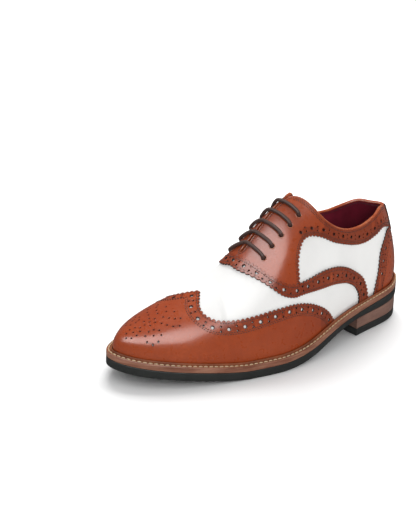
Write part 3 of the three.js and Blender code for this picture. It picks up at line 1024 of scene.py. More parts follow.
def white_calf(settings):
    finish = Finish("white_calf", 0.4, Coat_Weight=0.12, Coat_Roughness=0.25, IOR=1.5)
    cloud = finish.ranged(finish.noise(34, 4.0), 0.35, 0.7)
    shade = [0.955 * c for c in settings.white]
    finish.colour(finish.mixed(cloud, settings.white, shade))
    finish.roughness(finish.ranged(finish.noise(220, 3.0), 0.3, 0.7, 0.34, 0.48))
    grain = finish.bump(finish.noise(1700, 3.0, 0.6), 0.04 * mm, 0.3)
    finish.bump(finish.noise(120, 3.0, 0.5), 0.15 * mm, 0.2, grain)
    return finish.material


def grained(name, colour, dark, roughness, scale=900, depth=0.05 * mm, coat=0.0):
    """A leather or rubber of one colour with a cloud of a darker one and a grain."""
    finish = Finish(name, roughness, Coat_Weight=coat, Coat_Roughness=0.25, IOR=1.5)
    cloud = finish.ranged(finish.noise(45, 5.0, 0.6), 0.35, 0.7)
    finish.colour(finish.mixed(cloud, colour, dark))
    finish.roughness(finish.ranged(finish.noise(240, 3.0), 0.3, 0.7, roughness - 0.06, roughness + 0.08))
    finish.bump(finish.noise(scale, 3.0, 0.6), depth, 0.6)
    return finish.material


def layered(name, colour, dark, line, pitch, roughness):
    """Stacked or split leather seen at its edge, with faint level lines."""
    finish = Finish(name, roughness, Coat_Weight=0.2, Coat_Roughness=0.25, IOR=1.5)
    cloud = finish.ranged(finish.noise(30, 5.0, 0.6, (1.0, 1.0, 6.0)), 0.32, 0.7)
    base = finish.mixed(cloud, colour, dark)
    apart = finish.add("ShaderNodeSeparateXYZ")
    finish.link(finish.place, apart.inputs["Vector"])
    wander = finish.maths("MULTIPLY", finish.noise(60, 2.0), 0.4 * mm)
    level = finish.maths("ADD", apart.outputs["Z"], wander)
    wave = finish.maths("SINE", finish.maths("MULTIPLY", level, 2 * pi / pitch), 0.0)
    lines = finish.ranged(wave, 0.93, 1.0, 0.0, 0.5)
    finish.colour(finish.mixed(lines, base, line))
    finish.roughness(finish.ranged(finish.noise(300, 3.0), 0.3, 0.7, roughness - 0.07, roughness + 0.1))
    fibre = finish.noise(900, 3.0, 0.6, (1.0, 1.0, 2.5))
    finish.bump(fibre, 0.05 * mm, 0.5)
    return finish.material


def cotton_lace(settings):
    """Waxed cotton braided round, charted by the lace's own length and turn."""
    finish = Finish("cotton_lace", 0.55, Sheen_Weight=0.08, Sheen_Roughness=0.4)
    chart = finish.add("ShaderNodeUVMap", uv_map="braid")
    apart = finish.add("ShaderNodeSeparateXYZ")
    finish.link(chart.outputs["UV"], apart.inputs["Vector"])
    strands = []
    for sign in (1, -1):
        turned = finish.maths("MULTIPLY", apart.outputs["Y"], 10 * pi * sign)
        ran = finish.maths("MULTIPLY", apart.outputs["X"], 2 * pi / (1.9 * mm))
        strands.append(finish.maths("SINE", finish.maths("ADD", turned, ran), 0.0))
    weave = finish.maths("MULTIPLY", *strands)
    share = finish.ranged(weave, -0.8, 0.8)
    # The low parts of the braid's bump are coloured darker: painted shade in the grooves
    dark = [0.45 * c for c in settings.lace]
    finish.colour(finish.mixed(share, dark, settings.lace))
    finish.bump(weave, 0.12 * mm, 0.8)
    return finish.material


def thread(name, colour, roughness=0.5):
    finish = Finish(name, roughness, Sheen_Weight=0.15, Sheen_Roughness=0.5)
    twist = finish.ranged(finish.noise(2600, 2.0, 0.6), 0.35, 0.65)
    dark = [0.55 * c for c in colour]
    finish.colour(finish.mixed(twist, dark, colour))
    finish.bump(finish.noise(3200, 2.0), 0.05 * mm, 0.6)
    return finish.material


made_finishes = {}


def finish_of(name):
    """Each finish is made once."""
    if name in made_finishes:
        return made_finishes[name]
    s = bpy.context.scene.shoe_finishes
    makers = {
        "brown": lambda: brown_calf(s),
        "white": lambda: white_calf(s),
        # The cut finish is the raw edge's dark brown, made darker still as painted shade along the pinked
        # teeth and inside the punched holes
        "cut": lambda: grained("cut_edge", s.cut_edge, [0.5 * c for c in s.cut_edge], 0.6, 1500),
        "lining": lambda: grained("lining_leather", s.lining, [0.6 * c for c in s.lining], 0.42, 1100),
        # The tongue's colour is its own dark brown made near black, as painted shade in the slit between
        # the facings
        "tongue": lambda: grained("tongue_leather", s.tongue, [0.6 * c for c in s.tongue], 0.4, 1100),
        "bead": lambda: grained("bead_leather", s.bead, s.brown, 0.26, 1300, 0.04 * mm, 0.4),
        "strip": lambda: grained("strip_leather", s.brown_dark, [0.5 * c for c in s.brown_dark], 0.35),
        "welt": lambda: grained("welt_top", s.welt, s.welt_dark, 0.36, 700, 0.06 * mm, 0.2),
        "welt_side": lambda: layered("welt_side", s.welt_side, s.welt_dark, s.welt_dark, 9 * mm, 0.4),
        "heel": lambda: layered("heel_stack", s.heel, s.heel_dark, s.heel_dark, 3.4 * mm, 0.42),
        "rubber": lambda: grained("black_rubber", s.rubber, [0.7 * c for c in s.rubber], 0.5, 800),
        "lace": lambda: cotton_lace(s),
        "thread_dark": lambda: thread("thread_dark", s.thread_dark),
        "thread_pale": lambda: thread("thread_pale", s.thread_pale),
        "thread_white": lambda: thread("thread_white", s.thread_white),
    }
    made_finishes[name] = makers[name]()
    return made_finishes[name]


# Settings that a user would change


def colour_setting(name, description, default):
    return bpy.props.FloatVectorProperty(
        name=name, description=description, default=default, subtype="COLOR", min=0, max=1,
    )


def size_setting(name, description, default):
    return bpy.props.FloatProperty(
        name=name, description=description, default=default, unit="LENGTH", subtype="DISTANCE",
    )


class ShoeFinishes(bpy.types.PropertyGroup):
    brown: colour_setting("Brown", "Main colour of the polished calf", (0.32, 0.045, 0.007))
    brown_light: colour_setting("Light brown", "Clouds in the calf", (0.38, 0.062, 0.012))
    brown_dark: colour_setting("Dark brown", "Burnished edges and specks", (0.095, 0.012, 0.005))
    white: colour_setting("White", "Vamp and quarters", (0.87, 0.865, 0.85))
    # Cut edge: the raw edge's colour, darkened further as painted shade along the teeth and in the holes
    cut_edge: colour_setting("Cut edge", "Raw edge of the brown panels", (0.035, 0.010, 0.006))
    lining: colour_setting("Lining", "Lining and sock", (0.24, 0.018, 0.042))
    # Tongue: dark brown leather darkened to near black, as painted shade in the slit
    tongue: colour_setting("Tongue", "Tongue in the slit", (0.035, 0.014, 0.011))
    bead: colour_setting("Bead", "Rolled edge of the topline", (0.42, 0.12, 0.05))
    welt: colour_setting("Welt", "Top of the welt", (0.33, 0.095, 0.032))
    welt_dark: colour_setting("Dark welt", "Clouds in the welt", (0.17, 0.048, 0.02))
    welt_side: colour_setting("Welt side", "Trimmed side of the welt", (0.37, 0.165, 0.10))
    heel: colour_setting("Heel", "Stacked heel block", (0.26, 0.135, 0.098))
    heel_dark: colour_setting("Dark heel", "Lines between the lifts", (0.15, 0.07, 0.05))
    rubber: colour_setting("Rubber", "Outsole and top piece", (0.026, 0.029, 0.027))
    lace: colour_setting("Lace", "Waxed cotton", (0.090, 0.036, 0.025))
    thread_dark: colour_setting("Dark thread", "Stitches on the brown panels", (0.03, 0.009, 0.006))
    thread_pale: colour_setting("Pale thread", "Stitches on the welt", (0.78, 0.55, 0.32))
    thread_white: colour_setting("White thread", "Stitches on the white leather", (0.8, 0.78, 0.74))


class ShoeSizes(bpy.types.PropertyGroup):
    face: size_setting("Panel face", "Height of the brown panels over the white leather", 1.35 * mm)
    band_face: size_setting("Band face", "Height of the vamp band over the white leather", 1.75 * mm)
    hole_taper: size_setting("Hole taper", "How much the punched holes narrow on each side", 0.4 * mm)
    tooth_pitch: size_setting("Tooth pitch", "Length of one tooth of the pinked edges", 4.1 * mm)
    tooth_depth: size_setting("Tooth depth", "Depth of the pinked edges", 1.8 * mm)
    fine_pitch: size_setting("Fine tooth pitch", "Length of one tooth of the facings", 3.6 * mm)
    fine_depth: size_setting("Fine tooth depth", "Depth of the facings' teeth", 1.5 * mm)
    punch: size_setting("Punch", "Diameter of the big holes", 3.2 * mm)
    small_punch: size_setting("Small punch", "Diameter of the small holes", 1.5 * mm)
    pair_gap: size_setting("Pair gap", "Distance between the two small holes of a pair", 3.7 * mm)
    row_inset: size_setting("Hole row", "Distance of the holes from the wing's edge", 5.2 * mm)
    row_pitch: size_setting("Hole pitch", "Distance between the big holes", 14.2 * mm)
    stitch: size_setting("Stitch", "Length of one stitch of the upper with its gap", 2.3 * mm)
    welt_stitch: size_setting("Welt stitch", "Length of one welt stitch with its gap", 5 * mm)
    eyelet: size_setting("Eyelet", "Diameter of the lace holes", 4.3 * mm)
    lace: size_setting("Lace", "Thickness of the waxed lace", 3.3 * mm)


# Edges of the panels

def slit_half(station):
    """Half the slit, as a height below the ridge."""
    place = np.column_stack([np.atleast_1d(station), np.full(np.size(station), 0.999)])
    stretch = np.linalg.norm(tangents(place)[1], axis=1)
    return SLIT_WIDTH / 2 / stretch


def throat_line():
    """From the heel along the topline, over the corner of the facing and down the slit to its end."""
    stations = np.linspace(SLIT_START, SLIT_END - 0.006, 24)
    slit = np.column_stack([stations, 1 - slit_half(stations)])
    corner = [(0.4305, 0.958), (0.4335, 0.972)]
    end = [(SLIT_END - 0.002, 1 - 0.7 * slit_half(SLIT_END)[0]), (SLIT_END, 1.0)]
    return soft_line([*TOPLINE_ROWS, *corner, *slit, *end], 6)


throat = Line(throat_line())
topline_end = throat.runs[np.argmax(throat.places[:, 0] > 0.4305)]
facing_edge = Line(soft_line(FACING_ROWS))


def rolled_width(run):
    """Width of the rolled edge, which is finer down the slit."""
    return np.interp(run, [0, topline_end, topline_end + 8 * mm], [1.15 * mm, 1.15 * mm, 0.6 * mm])


def inside_throat():
    """The line at which the leathers end, behind the rolled edge."""
    inner = beside(throat, rolled_width, True).places
    inner = inner[(inner[:, 0] < SLIT_END) & (inner[:, 1] < 1 - 1e-4)]
    return np.vstack([inner, [(SLIT_END + 0.0015, 1.0)]])


trimmed = Line(inside_throat())


def counter_line():
    """From the inner front of the counter over the heel to its outer front."""
    half = soft_line(COUNTER_ROWS)
    inner = half[::-1] * (-1, 1)
    return Line(np.vstack([inner, half[1:]]))


def feather_run(start, end, pitch=3 * mm):
    """Places along the feather edge between two turns."""
    turns = np.linspace(start, end, 400)
    return plain(Line(np.column_stack([turns, np.zeros(400)])), pitch)


def eyelet_places(inner):
    rows = np.array(EYELET_ROWS, float)
    if inner:
        rows[:, 0] = 2 - rows[:, 0] - INNER_EYELET_SHIFT
    return rows


def eyelet_holes(radius, inner):
    rows = eyelet_places(inner)
    normal = last_normal(rows)
    along = unit(tangents(rows)[0])
    return discs(rows, along, unit(np.cross(normal, along)), radius, 20)


def near_places(goals):
    """Places of points seen from above on the toe, where turn and height both run out."""
    turns, heights = np.meshgrid(np.linspace(0.7, 1.3, 241), np.linspace(0.3, 1, 141), indexing="ij")
    places = np.column_stack([turns.ravel(), heights.ravel()])
    points = last_point(places)[:, :2]
    found = places[np.argmin(((goals[:, None] - points[None]) ** 2).sum(2), axis=1)]
    for _ in range(4):
        miss = goals - last_point(found)[:, :2]
        round_shoe, upward = (t[:, :2] for t in tangents(found))
        size = round_shoe[:, 0] * upward[:, 1] - round_shoe[:, 1] * upward[:, 0]
        safe = np.abs(size) > 2e-4
        size = np.where(safe, size, 1)
        step = np.column_stack([
            (miss[:, 0] * upward[:, 1] - miss[:, 1] * upward[:, 0]) / size,
            (round_shoe[:, 0] * miss[:, 1] - round_shoe[:, 1] * miss[:, 0]) / size,
        ])
        step = np.clip(np.where(safe[:, None], step, 0), -0.004, 0.004)
        found = found + step
        found[:, 1] = np.minimum(found[:, 1], 1)
    return found


def medallion_holes(diameter, sides=8):
    rows = np.array(MEDALLION_ROWS) * SOLE_WIDTH
    middle = ridge_point(np.array([RIDGE_END]))[0, 0] + MEDALLION_SIDE * SOLE_WIDTH
    centres = []
    for back, side in rows:
        y = -SOLE_LENGTH / 2 + back
        for sign in (1, -1) if side else (1,):
            centres.append((middle + sign * side, y))
    centres = np.array(centres)
    angles = (np.arange(sides) + 0.5) * 2 * pi / sides
    ring = np.column_stack([np.cos(angles), np.sin(angles)]) * diameter / 2
    goals = (centres[:, None] + ring[None]).reshape(-1, 2)
    return list(near_places(goals).reshape(len(centres), sides, 2))


# Sole unit


def mitres(loop):
    """Outward vectors that move each corner of a loop with its two sides."""
    after = unit(np.roll(loop, -1, axis=0) - loop)
    before = np.roll(after, 1, axis=0)
    first = np.column_stack([before[:, 1], -before[:, 0]])
    second = np.column_stack([after[:, 1], -after[:, 0]])
    if doubled_area(loop) < 0:
        first, second = -first, -second
    total = first + second
    return total / (1 + (first * second).sum(1))[:, None]


def plate(name, loop, rim, finishes, looks, slot, *nodes):
    """A plate whose rim is a list of rings: inset, height as a function of y, lift.

    The loop is even about its first point, so its caps are ladders between the two sides.
    """
    out = mitres(loop)
    count = len(loop)
    rings = []
    for inset, level, lift in rim:
        flat = loop - out * np.reshape(inset, (-1, 1))
        rings.append(np.column_stack([flat, level(flat[:, 1]) + lift]))
    verts = np.vstack(rings)
    faces = []
    which = []
    for j in range(len(rings) - 1):
        for i in range(count):
            k = (i + 1) % count
            faces.append((j * count + i, j * count + k, (j + 1) * count + k, (j + 1) * count + i))
            which.append(looks[j])
    top = (len(rings) - 1) * count
    for i in range(count // 2):
        corners = [i, i + 1, count - i - 1, (count - i) % count]
        corners = list(dict.fromkeys(corners))
        faces.append(tuple(corners[::-1]))
        which.append(looks[0])
        faces.append(tuple(top + c for c in corners))
        which.append(looks[-1])
    if doubled_area(loop) < 0:
        faces = [f[::-1] for f in faces]
    piece = new_object(name, verts, faces, finishes, which)
    piece.data.set_sharp_from_angle(angle=radians(38))
    return ready(piece, slot, *nodes)


def sole_loop(count=240):
    return outline(np.arange(count) * 2 / count)


def heel_loop():
    front = float(turn_of_share(HEEL_LENGTH / SOLE_LENGTH))
    turns = np.linspace(0, front, 40)
    outer = outline(turns)
    inner = outline(2 - turns[1:])[::-1]
    across = np.linspace(outer[-1], inner[0], 21)[1:-1]
    return np.vstack([outer, across, inner])


def quarter(radius, steps=4):
    """Inset and rise of a rounded corner, from its foot to its top."""
    angles = np.linspace(0, pi / 2, steps)
    return [(radius * (1 - cos(a)), radius * sin(a)) for a in angles]


def round_rim(low, high, low_radius, high_radius, inset=0.0):
    foot = [(inset + a, low, low_radius - b) for a, b in quarter(low_radius)[::-1]]
    head = [(inset + a, high, b - high_radius) for a, b in quarter(high_radius)]
    return foot + head


def make_outsole():
    rim = round_rim(underside_at, outsole_top_at, 1.1 * mm, 0.7 * mm)
    plate("outsole_rubber", sole_loop(), rim, [finish_of("rubber")], [0] * len(rim), "outsole", "outsole")


def make_heel():
    loop = heel_loop()

    def level(height):
        return lambda y: np.full_like(y, height)

    rim = round_rim(
        level(TOP_PIECE_THICKNESS), lambda y: underside_at(y) - CLEARANCE, 0.3 * mm, 0.3 * mm, HEEL_INSET,
    )
    plate("heel_stack", loop, rim, [finish_of("heel")], [0] * len(rim), "heel", "heel_block")
    rim = round_rim(level(0.0), level(TOP_PIECE_THICKNESS - CLEARANCE), 1.0 * mm, 0.3 * mm, HEEL_INSET)
    plate("heel_top_piece", loop, rim, [finish_of("rubber")], [0] * len(rim), "outsole", "top_piece")


def welt_margins(count=240):
    turns = np.arange(count) * 2 / count
    return margin_at(share_of_turn(folded(turns)))


RIB_GAP = 1.9 * mm
RIB_WIDTH = 1.5 * mm
RIB_HEIGHT = 1.9 * mm


def stitch_inset(margin):
    return 0.52 * (margin - RIB_GAP - RIB_WIDTH) + 0.15 * mm


def make_welt():
    margin = welt_margins()
    high = welt_top_at
    low = welt_bottom_at
    groove = stitch_inset(margin)
    half = np.minimum(0.75 * mm, groove * 0.6)
    rib_out = margin - RIB_GAP - RIB_WIDTH
    rib_in = margin - RIB_GAP
    rim = [(a, low, 0.4 * mm - b) for a, b in quarter(0.4 * mm)[::-1]]
    rim += [(a * 0.8, high, b - 1.1 * mm) for a, b in quarter(1.1 * mm)]
    rim = [
        (np.minimum(inset, groove - half) if inset else 0.0, level, lift) for inset, level, lift in rim
    ]
    rim += [
        (groove - half, high, 0.0),
        (groove - 0.5 * half, high, -0.35 * mm),
        (groove + 0.5 * half, high, -0.4 * mm),
        (rib_out - 0.1 * mm, high, 0.0),
        (rib_out, high, 0.5 * RIB_HEIGHT),
        (rib_out + 0.25 * RIB_WIDTH, high, 0.92 * RIB_HEIGHT),
        (rib_out + 0.6 * RIB_WIDTH, high, RIB_HEIGHT),
        (rib_in - 0.1 * mm, high, 0.75 * RIB_HEIGHT),
        (rib_in, high, 0.0),
    ]
    looks = [1] * 6 + [0] * (len(rim) - 6)
    faces = [finish_of("welt"), finish_of("welt_side")]
    plate("welt_strip", sole_loop(), rim, faces, looks, "welt", "welt")

    count = round(SOLE_LENGTH * 2.42 / bpy.context.scene.shoe_sizes.welt_stitch)
    fine = np.linspace(0, 2, 2001)
    inset = stitch_inset(margin_at(share_of_turn(folded(fine))))
    flat = outline(fine) - outward(fine) * inset[:, None]
    points = np.column_stack([flat, welt_top_at(flat[:, 1])])
    runs = np.concatenate([[0], np.cumsum(np.linalg.norm(np.diff(points, axis=0), axis=1))])
    step = runs[-1] / count
    centre = (np.arange(count) + 0.5) * step

    def at(run):
        return np.column_stack([np.interp(run, runs, points[:, i]) for i in range(3)])

    along = unit(at(centre + 0.5 * mm) - at(centre - 0.5 * mm))
    up = np.tile((0.0, 0.0, 1.0), (count, 1))
    left = unit(np.cross(up, along))
    normal = np.cross(along, left)
    row = (at(centre) + normal * 0.12 * mm, along, left, normal, step * 0.8, 0.62 * mm)
    ready(stitches("welt_stitches", [row], finish_of("thread_pale")), "welt")


def make_insole():
    margin = welt_margins()
    inset = margin + UPPER_WALL + 2 * CLEARANCE

    def low(y):
        return welt_top_at(y) + CLEARANCE

    def high(y):
        return low(y) + INSOLE_THICKNESS

    rim = [
        (inset, low, 0.0),
        (inset, high, -0.8 * mm),
        (inset + 0.3 * mm, high, -0.2 * mm),
        (inset + mm, high, 0.0),
    ]
    plate("sock", sole_loop(), rim, [finish_of("lining")], [0] * 4, "lining", "insole")


# Upper


def throat_loop():
    outer = plain(trimmed, 1.6 * mm)
    return np.vstack([outer, mirrored(outer)[1:-1]])


def under_brown(places):
    """Where the white leather gives way to brown under the strip along the topline."""
    station = folded(places[:, 0])
    order = np.argsort(facing_edge.places[:, 0])
    edge = np.interp(station, facing_edge.places[order, 0], facing_edge.places[order, 1])
    return ((places[:, 1] > edge + 0.02) & (station < 0.487)).astype(float)


def make_quarters():
    """White vamp and quarters in one closed leather, and the lining behind it."""
    sizes = bpy.context.scene.shoe_sizes
    feather = feather_run(0, 2)[:-1]
    holes = [throat_loop()]
    for inner in (False, True):
        holes += eyelet_holes(sizes.eyelet / 2, inner)
    middle = -UPPER_WALL / 2
    face = [finish_of("white"), finish_of("strip"), finish_of("lining")]
    piece = cut_sheet("quarters", feather, holes, 0.0, middle, face, bevel=0.15 * mm, region=under_brown)
    ready(piece, "white_leather", "upper")
    back = [finish_of("lining")] * 3
    piece = cut_sheet("lining", feather, holes, middle - 0.05 * mm, -UPPER_WALL, back, bevel=0.1 * mm)
    ready(piece, "lining", "upper")


def make_bead():
    """The rolled edge of the topline and of the slit."""
    face = bpy.context.scene.shoe_sizes.face + 0.05 * mm
    back = -UPPER_WALL - 0.05 * mm
    middle = (face + back) / 2
    half = (face - back) / 2
    angles = np.linspace(-pi / 2, pi / 2, 11)
    profile = [(-half * 0.9, -1.3), *((half * sin(a), cos(a) - 1) for a in angles), (half * 0.9, -1.3)]
    rings = []
    for places in (throat.places, mirrored(throat.places)):
        line = Line(places)
        runs = line.ends(1.6 * mm)
        _, points, _, left, normal = line.frame(runs)
        width = rolled_width(runs if places is throat.places else line.length - runs)
        made = [
            [p + n * (middle + a) - d * w * b for a, b in profile]
            for p, n, d, w in zip(points, normal, left, width)
        ]
        rings += made if places is throat.places else made[1:-1]
    ready(swept("topline_bead", rings, [finish_of("bead")], True), "brown_leather", "upper")


# A panel's cut edge and back take the cut finish, whose dark colour is partly painted shade in the holes
# and along the teeth
def panel_finishes():
    return [finish_of("brown"), finish_of("cut"), finish_of("cut")]


rows_of_thread = {"dark": [], "inside": []}


def add_stitches(row, offset=None, pitch=None, which="dark", **more):
    sizes = bpy.context.scene.shoe_sizes
    offset = sizes.face + 0.06 * mm if offset is None else offset
    rows_of_thread[which].append(stitch_row(row, pitch or sizes.stitch, offset, **more))


def make_wing():
    sizes = bpy.context.scene.shoe_sizes
    half = Line(soft_line(WING_ROWS))
    edge = pinked(half, sizes.tooth_pitch, sizes.tooth_depth)
    edge = np.vstack([edge, mirrored(edge)[1:]])
    feather = feather_run(2 - half.places[0, 0], half.places[0, 0])[1:-1]

    def row_inset(run):
        return sizes.row_inset * np.interp(run / half.length, *ROW_INSET)

    row = WholeLine(beside(half, row_inset, True))
    holes = punch_row(row, sizes.row_pitch, sizes.punch, sizes.small_punch, sizes.pair_gap)
    holes += medallion_holes(1.2 * mm)
    piece = cut_sheet(
        "wing_cap_leather", np.vstack([edge, feather]), holes, sizes.face, 0.05 * mm, panel_finishes(),
        taper=sizes.hole_taper,
    )
    ready(piece, "brown_leather", "wing_cap")
    add_stitches(WholeLine(beside(half, 1.8 * mm, True)))
    for more in (3.1 * mm, 4.6 * mm):
        add_stitches(WholeLine(beside(half, lambda run: row_inset(run) + more, True)))


def make_band():
    sizes = bpy.context.scene.shoe_sizes
    toe_half = Line(soft_line(BAND_TOE_ROWS))
    heel_half = Line(soft_line(BAND_HEEL_ROWS))
    heel_edge = pinked(heel_half, sizes.tooth_pitch, sizes.tooth_depth)
    heel_edge = np.vstack([heel_edge, mirrored(heel_edge)[1:]])
    toe_inner = Line(mirrored(toe_half.places)[::-1])
    toe_edge = pinked(toe_inner, sizes.tooth_pitch * 0.8, sizes.tooth_depth * 0.7)
    toe_edge = np.vstack([toe_edge, mirrored(toe_edge)[1:]])
    middle_rows = (np.array(BAND_TOE_ROWS) + np.array(BAND_HEEL_ROWS)) / 2
    middle = WholeLine(Line(soft_line(middle_rows)))
    holes = punch_row(middle, sizes.row_pitch * 0.93, sizes.punch, sizes.small_punch, sizes.pair_gap)
    piece = cut_sheet(
        "vamp_band_leather", np.vstack([heel_edge, toe_edge]), holes, sizes.band_face, 0.05 * mm,
        panel_finishes(), taper=sizes.hole_taper,
    )
    ready(piece, "brown_leather", "vamp_band")
    for line, inset in ((heel_half, 2.1 * mm), (toe_inner, 1.9 * mm)):
        add_stitches(WholeLine(beside(line, inset, True)), sizes.band_face + 0.06 * mm)


def make_facings():
    """Both facings with the strip to the heel. Their front edges are plain and lie under the band."""
    sizes = bpy.context.scene.shoe_sizes
    tucked = plain(Line(soft_line(TUCKED_ROWS)))
    edge = Line(soft_line([TUCKED_ROWS[-1], FACING_CORNER, *FACING_ROWS[6:]]))
    teeth = pinked(edge, sizes.fine_pitch, sizes.fine_depth)
    start = plain(trimmed, 1.6 * mm)
    start = start[start[:, 0] > 0.003]
    outer_loop = np.vstack([tucked[:-1], teeth, start])
    row = beside(edge, 6.2 * mm)
    body = Line(row.places[row.places[:, 0] < 0.474])
    rows = punch_row(body, 11.5 * mm, 2.7 * mm, 1.15 * mm, 3.2 * mm)
    rim = Line(throat.places[throat.places[:, 0] > 0.003])

    def from_rim(run):
        return np.interp(run, [0, topline_end, topline_end + 7 * mm], [3.3 * mm, 3.3 * mm, 2.2 * mm])

    along_rim = beside(rim, from_rim, True)
    top = along_rim.places[(along_rim.places[:, 0] > 0.392) & (along_rim.places[:, 0] < 0.4345)]
    seams = [beside(edge, 1.5 * mm), beside(edge, 2.9 * mm), along_rim, beside(Line(top), 1.6 * mm)]
    for name, inner in (("facing_outer", False), ("facing_inner", True)):
        turned = mirrored if inner else np.asarray
        holes = [turned(loop) for loop in rows] + eyelet_holes(sizes.eyelet / 2, inner)
        piece = cut_sheet(
            name + "_leather", turned(outer_loop), holes, sizes.face, 0.05 * mm, panel_finishes(),
            taper=0.3 * mm,
        )
        ready(piece, "brown_leather", name)
        for seam in seams:
            add_stitches(Line(turned(seam.places)), pitch=2.0 * mm)


def make_lower_counter():
    sizes = bpy.context.scene.shoe_sizes
    edge = counter_line()
    teeth = pinked(edge, 3.6 * mm, 1.4 * mm)
    feather = feather_run(teeth[-1, 0], teeth[0, 0])[1:-1]
    row = beside(edge, 6 * mm)
    low = row.places[:, 1] > 0.05
    holes = punch_row(Line(row.places[low]), 12 * mm, 2.8 * mm, 1.3 * mm, 3.2 * mm)
    piece = cut_sheet(
        "heel_counter_leather", np.vstack([teeth, feather]), holes, sizes.face, 0.05 * mm,
        panel_finishes(),
    )
    ready(piece, "brown_leather", "heel_counter")
    for inset in (2.1 * mm, 10.4 * mm):
        add_stitches(beside(edge, inset))


def make_back_strip():
    """The narrow strip over the back seam, from the counter to the topline."""
    heights = np.linspace(0.36, 0.56, 30)
    half = 3.2 * mm
    centre = np.column_stack([np.zeros(30), heights])
    round_shoe, _ = tangents(centre)
    side = unit(round_shoe)
    right_edge = slide(centre, side * half)
    left_edge = slide(centre, -side * half)
    left_edge[:, 0] = np.where(left_edge[:, 0] > 1, left_edge[:, 0] - 2, left_edge[:, 0])
    loop = np.vstack([right_edge, left_edge[::-1]])
    face = bpy.context.scene.shoe_sizes.face
    finishes = [finish_of("strip"), finish_of("cut"), finish_of("cut")]
    piece = cut_sheet(
        "back_strip", loop, [], face + 0.9 * mm, face - 0.1 * mm, finishes, spacing=2.5 * mm,
    )
    ready(piece, "brown_leather")
    for sign in (1, -1):
        rail = slide(centre, side * sign * (half - 1.0 * mm))
        rail[:, 0] = np.where(rail[:, 0] > 1, rail[:, 0] - 2, rail[:, 0])
        add_stitches(Line(rail), offset=face + 0.95 * mm)


def make_tongue():
    stations = np.linspace(TONGUE_ROWS[0][0], TONGUE_ROWS[-1][0], 60)
    depth = np.interp(stations, column(TONGUE_ROWS, 0), column(TONGUE_ROWS, 1))
    room = LACE_DIAMETER + 2 * CLEARANCE
    heights = np.linspace(TONGUE_SIDE, 2 - TONGUE_SIDE, 40)
    rings = []
    for station, share in zip(stations, depth):
        places = np.column_stack([np.full(40, station), heights])
        face = -(UPPER_WALL + CLEARANCE + share * room)
        upper_side = on_last(places, np.full(40, face))
        lower_side = on_last(places, np.full(40, face - TONGUE_THICKNESS))
        rings.append(np.vstack([upper_side, lower_side[::-1]]))
    piece = swept("tongue_leather", rings, [finish_of("tongue")], False)
    piece.data.set_sharp_from_angle(angle=radians(40))
    ready(piece, "tongue", "tongue")


# Lace


def lace_route():
    """A straight bar at each pair of eyelets, and the climb under the facings between them."""
    bar_height = CLEARANCE + 1.2 * mm + CLEARANCE + LACE_DIAMETER / 2
    hidden = -(UPPER_WALL + CLEARANCE + LACE_DIAMETER / 2)
    bend = 0.03
    route = []

    def place(row, inner, inward, offset):
        station, height = row
        turn = 2 - station - INNER_EYELET_SHIFT if inner else station
        return on_last(np.array([[turn, height + inward]]), [offset])[0]

    for index, row in enumerate(EYELET_ROWS):
        from_inner = index % 2 == 1

        def dive(inner):
            return [
                place(row, inner, 0, hidden),
                place(row, inner, 0, 0),
                place(row, inner, 0, 1.2 * mm),
                place(row, inner, bend / 3, bar_height - CLEARANCE),
                place(row, inner, bend, bar_height),
            ]

        station, height = row
        low = height + bend
        overs = np.linspace(low, 2 - low, 7)[1:-1]
        across = station + (overs - low) / (2 - 2 * low) * INNER_EYELET_SHIFT
        bar = list(on_last(np.column_stack([across, overs]), np.full(5, bar_height)))
        if from_inner:
            bar.reverse()
        route += [*dive(from_inner), *bar, *dive(not from_inner)[::-1]]
        if index < len(EYELET_ROWS) - 1:
            after = EYELET_ROWS[index + 1]
            for share in (0.3, 0.7):
                between = [a + (b - a) * share for a, b in zip(row, after)]
                route.append(place(between, not from_inner, 0, hidden - 0.28 * mm))
    return np.array(route)


def smooth_route(points, between=6):
    gaps = gaps_along(points)
    slopes = np.diff(points, axis=0) / gaps
    leans = np.vstack([slopes[:1], middle_leans(gaps, slopes), slopes[-1:]])
    return eased(points, gaps, leans, between)


def make_lace():
    route = smooth_route(lace_route())
    radius = bpy.context.scene.shoe_sizes.lace / 2
    sides = 16
    angles = np.arange(sides) * 2 * pi / sides
    side = np.array([0.0, 1.0, 0.0])
    rings = []
    runs = np.concatenate([[0], np.cumsum(np.linalg.norm(np.diff(route, axis=0), axis=1))])
    for i, point in enumerate(route):
        along = unit(route[min(i + 1, len(route) - 1)] - route[max(i - 1, 0)])
        side = unit(side - along * side.dot(along))
        other = np.cross(along, side)
        ring = np.outer(np.cos(angles), side) + np.outer(np.sin(angles), other)
        rings.append(point + ring * radius)
    piece = swept("cotton_lace", rings, [finish_of("lace")], False)
    chart = piece.data.uv_layers.new(name="braid")
    for polygon in piece.data.polygons:
        corners = [piece.data.loops[i].vertex_index for i in polygon.loop_indices]
        rounds = [(v % sides) / sides for v in corners]
        if max(rounds) - min(rounds) > 0.5 and len(corners) == 4:
            rounds = [r + 1 if r < 0.5 else r for r in rounds]
        for loop_index, vertex, turn in zip(polygon.loop_indices, corners, rounds):
            chart.data[loop_index].uv = (runs[vertex // sides], turn)
    ready(piece, "lace", "lace")


